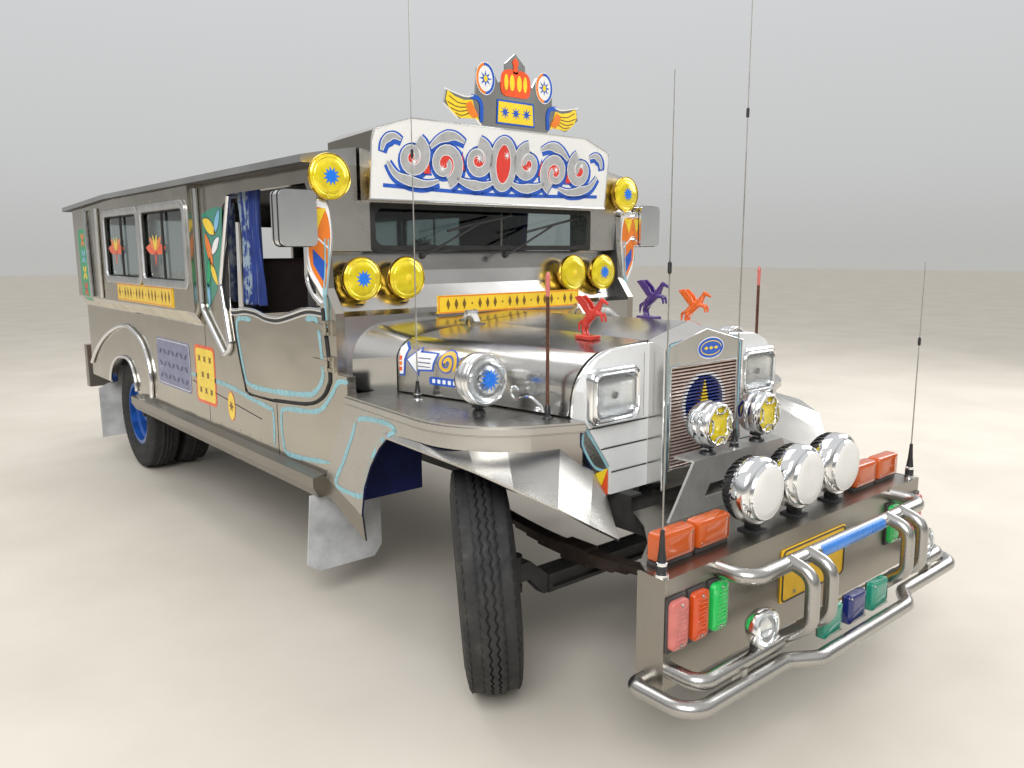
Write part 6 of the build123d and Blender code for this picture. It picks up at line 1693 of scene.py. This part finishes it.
def make_figures():
    """Three glossy leaping horses, smoothed from their solids, each in its own colour."""
    for index, (_, word, finish) in enumerate(FIGURES):
        shape = bmesh.new()
        shape.from_mesh(NODES["hood_figures"].data)
        bmesh.ops.remove_doubles(shape, verts=shape.verts[:], dist=1e-5)
        others = [v for v in shape.verts
                  if min(range(len(FIGURES)), key=lambda k: abs(v.co.x - FIGURES[k][0])) != index]
        bmesh.ops.delete(shape, geom=others, context="VERTS")
        mesh = bpy.data.meshes.new(f"horse_{word}")
        shape.to_mesh(mesh)
        shape.free()
        mesh.materials.append(finish)
        horse = added(f"horse_{word}", mesh)
        remesh = horse.modifiers.new("join", "REMESH")
        remesh.mode = "VOXEL"
        remesh.voxel_size = 0.003
        remesh.use_smooth_shade = True
        soften = horse.modifiers.new("soften", "SMOOTH")
        soften.factor = 0.6
        soften.iterations = 9
        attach(horse, "hood")
        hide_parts("hood_figures")


# Fasteners by Geometry Nodes
def fastener_tree(name, kind, **sizes):
    """Node group that sets a head on each point, turned by its direction and sized by its inputs."""
    tree = bpy.data.node_groups.new(name, "GeometryNodeTree")
    for label, way, socket in (("Geometry", "INPUT", "Geometry"), ("Radius", "INPUT", "Float"),
                               ("Height", "INPUT", "Float"), ("Direction", "INPUT", "Vector"),
                               ("Finish", "INPUT", "Material"), ("Geometry", "OUTPUT", "Geometry")):
        tree.interface.new_socket(label, in_out=way, socket_type=f"NodeSocket{socket}")
    kinds = {"in": "NodeGroupInput", "head": kind, "turn": "FunctionNodeAlignRotationToVector",
             "size": "ShaderNodeCombineXYZ", "spread": "GeometryNodeInstanceOnPoints",
             "real": "GeometryNodeRealizeInstances", "paint": "GeometryNodeSetMaterial",
             "out": "NodeGroupOutput"}
    nodes = {label: tree.nodes.new(made) for label, made in kinds.items()}
    for label, value in sizes.items():
        nodes["head"].inputs[label].default_value = value
    nodes["turn"].axis = "Z"
    for source, output, target, label in (
            ("in", "Radius", "size", "X"), ("in", "Radius", "size", "Y"), ("in", "Height", "size", "Z"),
            ("in", "Direction", "turn", "Vector"), ("in", "Geometry", "spread", "Points"),
            ("head", "Mesh", "spread", "Instance"), ("turn", "Rotation", "spread", "Rotation"),
            ("size", "Vector", "spread", "Scale"), ("spread", "Instances", "real", "Geometry"),
            ("real", "Geometry", "paint", "Geometry"), ("in", "Finish", "paint", "Material"),
            ("paint", "Geometry", "out", "Geometry")):
        tree.links.new(nodes[source].outputs[output], nodes[target].inputs[label])
    return tree


RIVETS = fastener_tree("rivet_heads", "GeometryNodeMeshUVSphere", Segments=12, Rings=8, Radius=1.0)
NUTS = fastener_tree("nut_heads", "GeometryNodeMeshCylinder", Vertices=6, Radius=1.0, Depth=2.0)


def fasteners(name, tree, places, direction, radius, height, body="chassis"):
    """Heads of one kind on places, all facing one way, made a plain mesh."""
    mesh = bpy.data.meshes.new(f"{name}_places")
    mesh.from_pydata([(x, y + BACK, z) for x, y, z in places], [], [])
    seeds = added(f"{name}_seeds", mesh)
    heads = seeds.modifiers.new("heads", "NODES")
    heads.node_group = tree
    values = {"Radius": radius, "Height": height, "Direction": Vector(direction), "Finish": NUT_METAL}
    for item in tree.interface.items_tree:
        if item.in_out == "INPUT" and item.name in values:
            heads[item.identifier] = values[item.name]
    bpy.context.view_layer.update()
    ready = bpy.data.meshes.new_from_object(seeds.evaluated_get(bpy.context.evaluated_depsgraph_get()))
    ready.name = name
    bpy.data.objects.remove(seeds)
    for face in ready.polygons:
        face.use_smooth = tree is RIVETS
    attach(added(name, ready), body)


def stepped(x, front, rear, z, pitch):
    """Evenly spaced places along the body, from front to rear."""
    start, end = Vector((x, front, z)), Vector((x, rear, z))
    count = max(1, round((end - start).length / pitch))
    return [start.lerp(end, step / count) for step in range(count + 1)]


# Rivets of the body side: distance from the middle, front, rear, height and pitch
RIVET_ROWS = ((0.9485, 2.4, 4.86, 1.845, 0.12), (0.9505, 2.4, 2.68, 1.236, 0.14),
              (0.899, 1.2, 2.36, 0.64, 0.13))


def make_body_fasteners():
    """Rivets of the mouldings and rails, and screws of the window frames."""
    for name, side in SIDES:
        rivets = [spot for x, *row in RIVET_ROWS for spot in stepped(side * x, *row)]
        fasteners(f"body_rivets_{name}", RIVETS, rivets, (side, 0, 0), 0.0045, 0.0028)
        screws = [spot for front, rear in WINDOW_BAYS for z in (WINDOW_LOW - 0.008, WINDOW_HIGH + 0.008)
                  for spot in stepped(side * 0.9636, front + 0.08, rear - 0.08, z, 0.205)]
        fasteners(f"frame_screws_{name}", RIVETS, screws, (side, 0, 0), 0.0042, 0.0022)


def make_wheel_nuts():
    """Six nuts on the outer rim of each wheel, dropped on to its dish."""
    for name, side in SIDES:
        rear = Vector((side * TWINS_X[1], REAR_AXLE_Y, TYRE_RADIUS))
        for word, rim, (middle, turn) in (("front", "rim_front", front_wheel_place(side)),
                                          ("rear", "rims_rear", (rear, turn_to((side, 0, 0))))):
            skin = skin_of(f"{rim}_{name}")
            axle = turn @ Vector((0, 0, 1))
            nuts = []
            for step in range(6):
                angle = math.radians(60 * step)
                start = middle + turn @ Vector((0.092 * math.cos(angle), 0.092 * math.sin(angle), 0.3))
                nuts.append(skin.ray_cast(start, -axle)[0] + axle * 0.006)
            fasteners(f"wheel_nuts_{word}_{name}", NUTS, nuts, axle, 0.0125, 0.0085, f"wheel_{word}_{name}")


# Mirrors, plates and boards
def make_mirror_faces():
    """Mirror glass behind each head, its dark gasket and two dark ribs round the head."""
    glass, gasket = Form(), Form()
    outline, ribs = rounded(0.135, 0.195, 0.022), rounded(0.157, 0.217, 0.026)
    for side in (-1, 1):
        x, z = side * 1.0375, 1.6775
        gasket.grid([[(x - p.x * size, y, z + p.y * size) for p in outline]
                     for size, y in ((1.0, 0.985), (1.0, 0.988), (0.95, 0.9895), (0.9, 0.989))],
                    round_columns=True)
        glass.add([(x - p.x * 0.91, 0.9885, z + p.y * 0.91) for p in outline], [range(len(outline))])
        for y in (0.922, 0.968):
            gasket.tube([(x + p.x, y, z + p.y) for p in ribs], 0.0022, 6, closed=True)
    gasket.put("mirror_gaskets", BLACK_RUBBER_AND_SHADE, slot="black_plastic")
    glass.put("mirror_glass", MIRROR_BOWL, smooth=False, slot="chrome")


def make_number_plate():
    """Rim and bolts of the blank number plate."""
    rim = [(p.x, -0.7275, 0.5 + p.y) for p in rounded(0.394, 0.174, 0.018)]
    Form().tube(rim, 0.0028, 6, closed=True).put("plate_rim", SEAM_AND_SHADE_DARK)
    bolts = [(x, -0.7275, z) for x in (-0.125, 0.125) for z in (0.435, 0.565)]
    fasteners("plate_bolts", NUTS, bolts, FORWARDS, 0.0062, 0.0035)


def make_board_paint():
    """Orange borders with a row of diamonds and dots on the route boards."""
    front = dropped(skin_of("route_boards"), lambda x, z: (x, 0.6, z), BACKWARDS)
    boards = [("front_board", front, (-0.396, 1.278), (0.469, 1.35))]
    boards += [(f"side_board_{name}", dropped_on_side("route_boards", side), (2.725, 1.242),
                (3.825, 1.343)) for name, side in SIDES]
    for name, place, low, high in boards:
        panel = Panel(place, name)
        edge = corner_box(low, high, 0.006)
        panel.line(ORANGE_PAINT, edge + edge[:1], 0.005)
        wide, tall = high[0] - low[0] - 0.1, high[1] - low[1]
        count = round(wide / (tall * 0.62))
        for step in range(count + 1):
            spot = (low[0] + 0.05 + wide * step / count, (low[1] + high[1]) / 2)
            if step % 4 == 3:
                panel.fill(BROWN_PAINT, oval(spot, tall * 0.07, tall * 0.07, 16))
            else:
                panel.fill(BROWN_PAINT, star(spot, tall * 0.36, tall * 0.15, 2, math.pi / 2))
        panel.finish()


# Linings, and painted shade inside the cabin
def lined(node_name, finish, name, facing, lift=0.0008):
    """Thin lining on those faces of a solid that a test picks."""
    node = NODES[node_name]
    shift = Vector((0, BACK, 0))
    form = Form()
    for face in node.data.polygons:
        if facing(node.matrix_world @ face.center - shift, face.normal):
            form.add([node.matrix_world @ node.data.vertices[index].co - shift + face.normal * lift
                      for index in face.vertices], [range(len(face.vertices))])
    form.put(name, finish, smooth=False)


def make_linings():
    """Dark-blue paint inside the fenders, and painted shade as a near-black sheet inside the cabin walls and
    roof.
    """
    for name, side in SIDES:
        wheel = Vector((side * 0.76, FRONT_AXLE_Y, 0.36))

        def inside(centre, normal):
            return normal.dot((wheel - centre).normalized()) > 0.12 and (wheel - centre).length < 1.1

        lined(f"fender_{name}", ARCH_BLUE, f"fender_lining_{name}", inside)
        # Painted shade on the inside faces of each body side
        lined(f"body_side_{name}", CABIN_PAINTED_SHADE, f"side_painted_shade_{name}",
              lambda centre, normal: normal.x * side < -0.6)
    # Painted shade under the roof
    lined("roof_panel", CABIN_PAINTED_SHADE, "roof_painted_shade", lambda centre, normal: normal.z < -0.5)


for make in (make_floor, make_sky, make_lamps, make_camera, make_tyres, make_headboard, make_crest,
             make_yellow_lamps, make_fender_lamps, make_driving_lamps, make_headlamps, make_fog_lamps,
             make_marker_lamps, make_aerials, make_shell_paint, make_fascia_trim, make_bar_badge,
             make_side_paint, make_door_trim, make_front_post, make_windows, make_fender_paint,
             make_hood_art, make_hood_latches, make_wipers, make_curtains, make_cushions, make_figures,
             make_body_fasteners, make_wheel_nuts, make_mirror_faces, make_number_plate,
             make_board_paint, make_linings):
    make()

bpy.context.scene.view_settings.view_transform = "Standard"
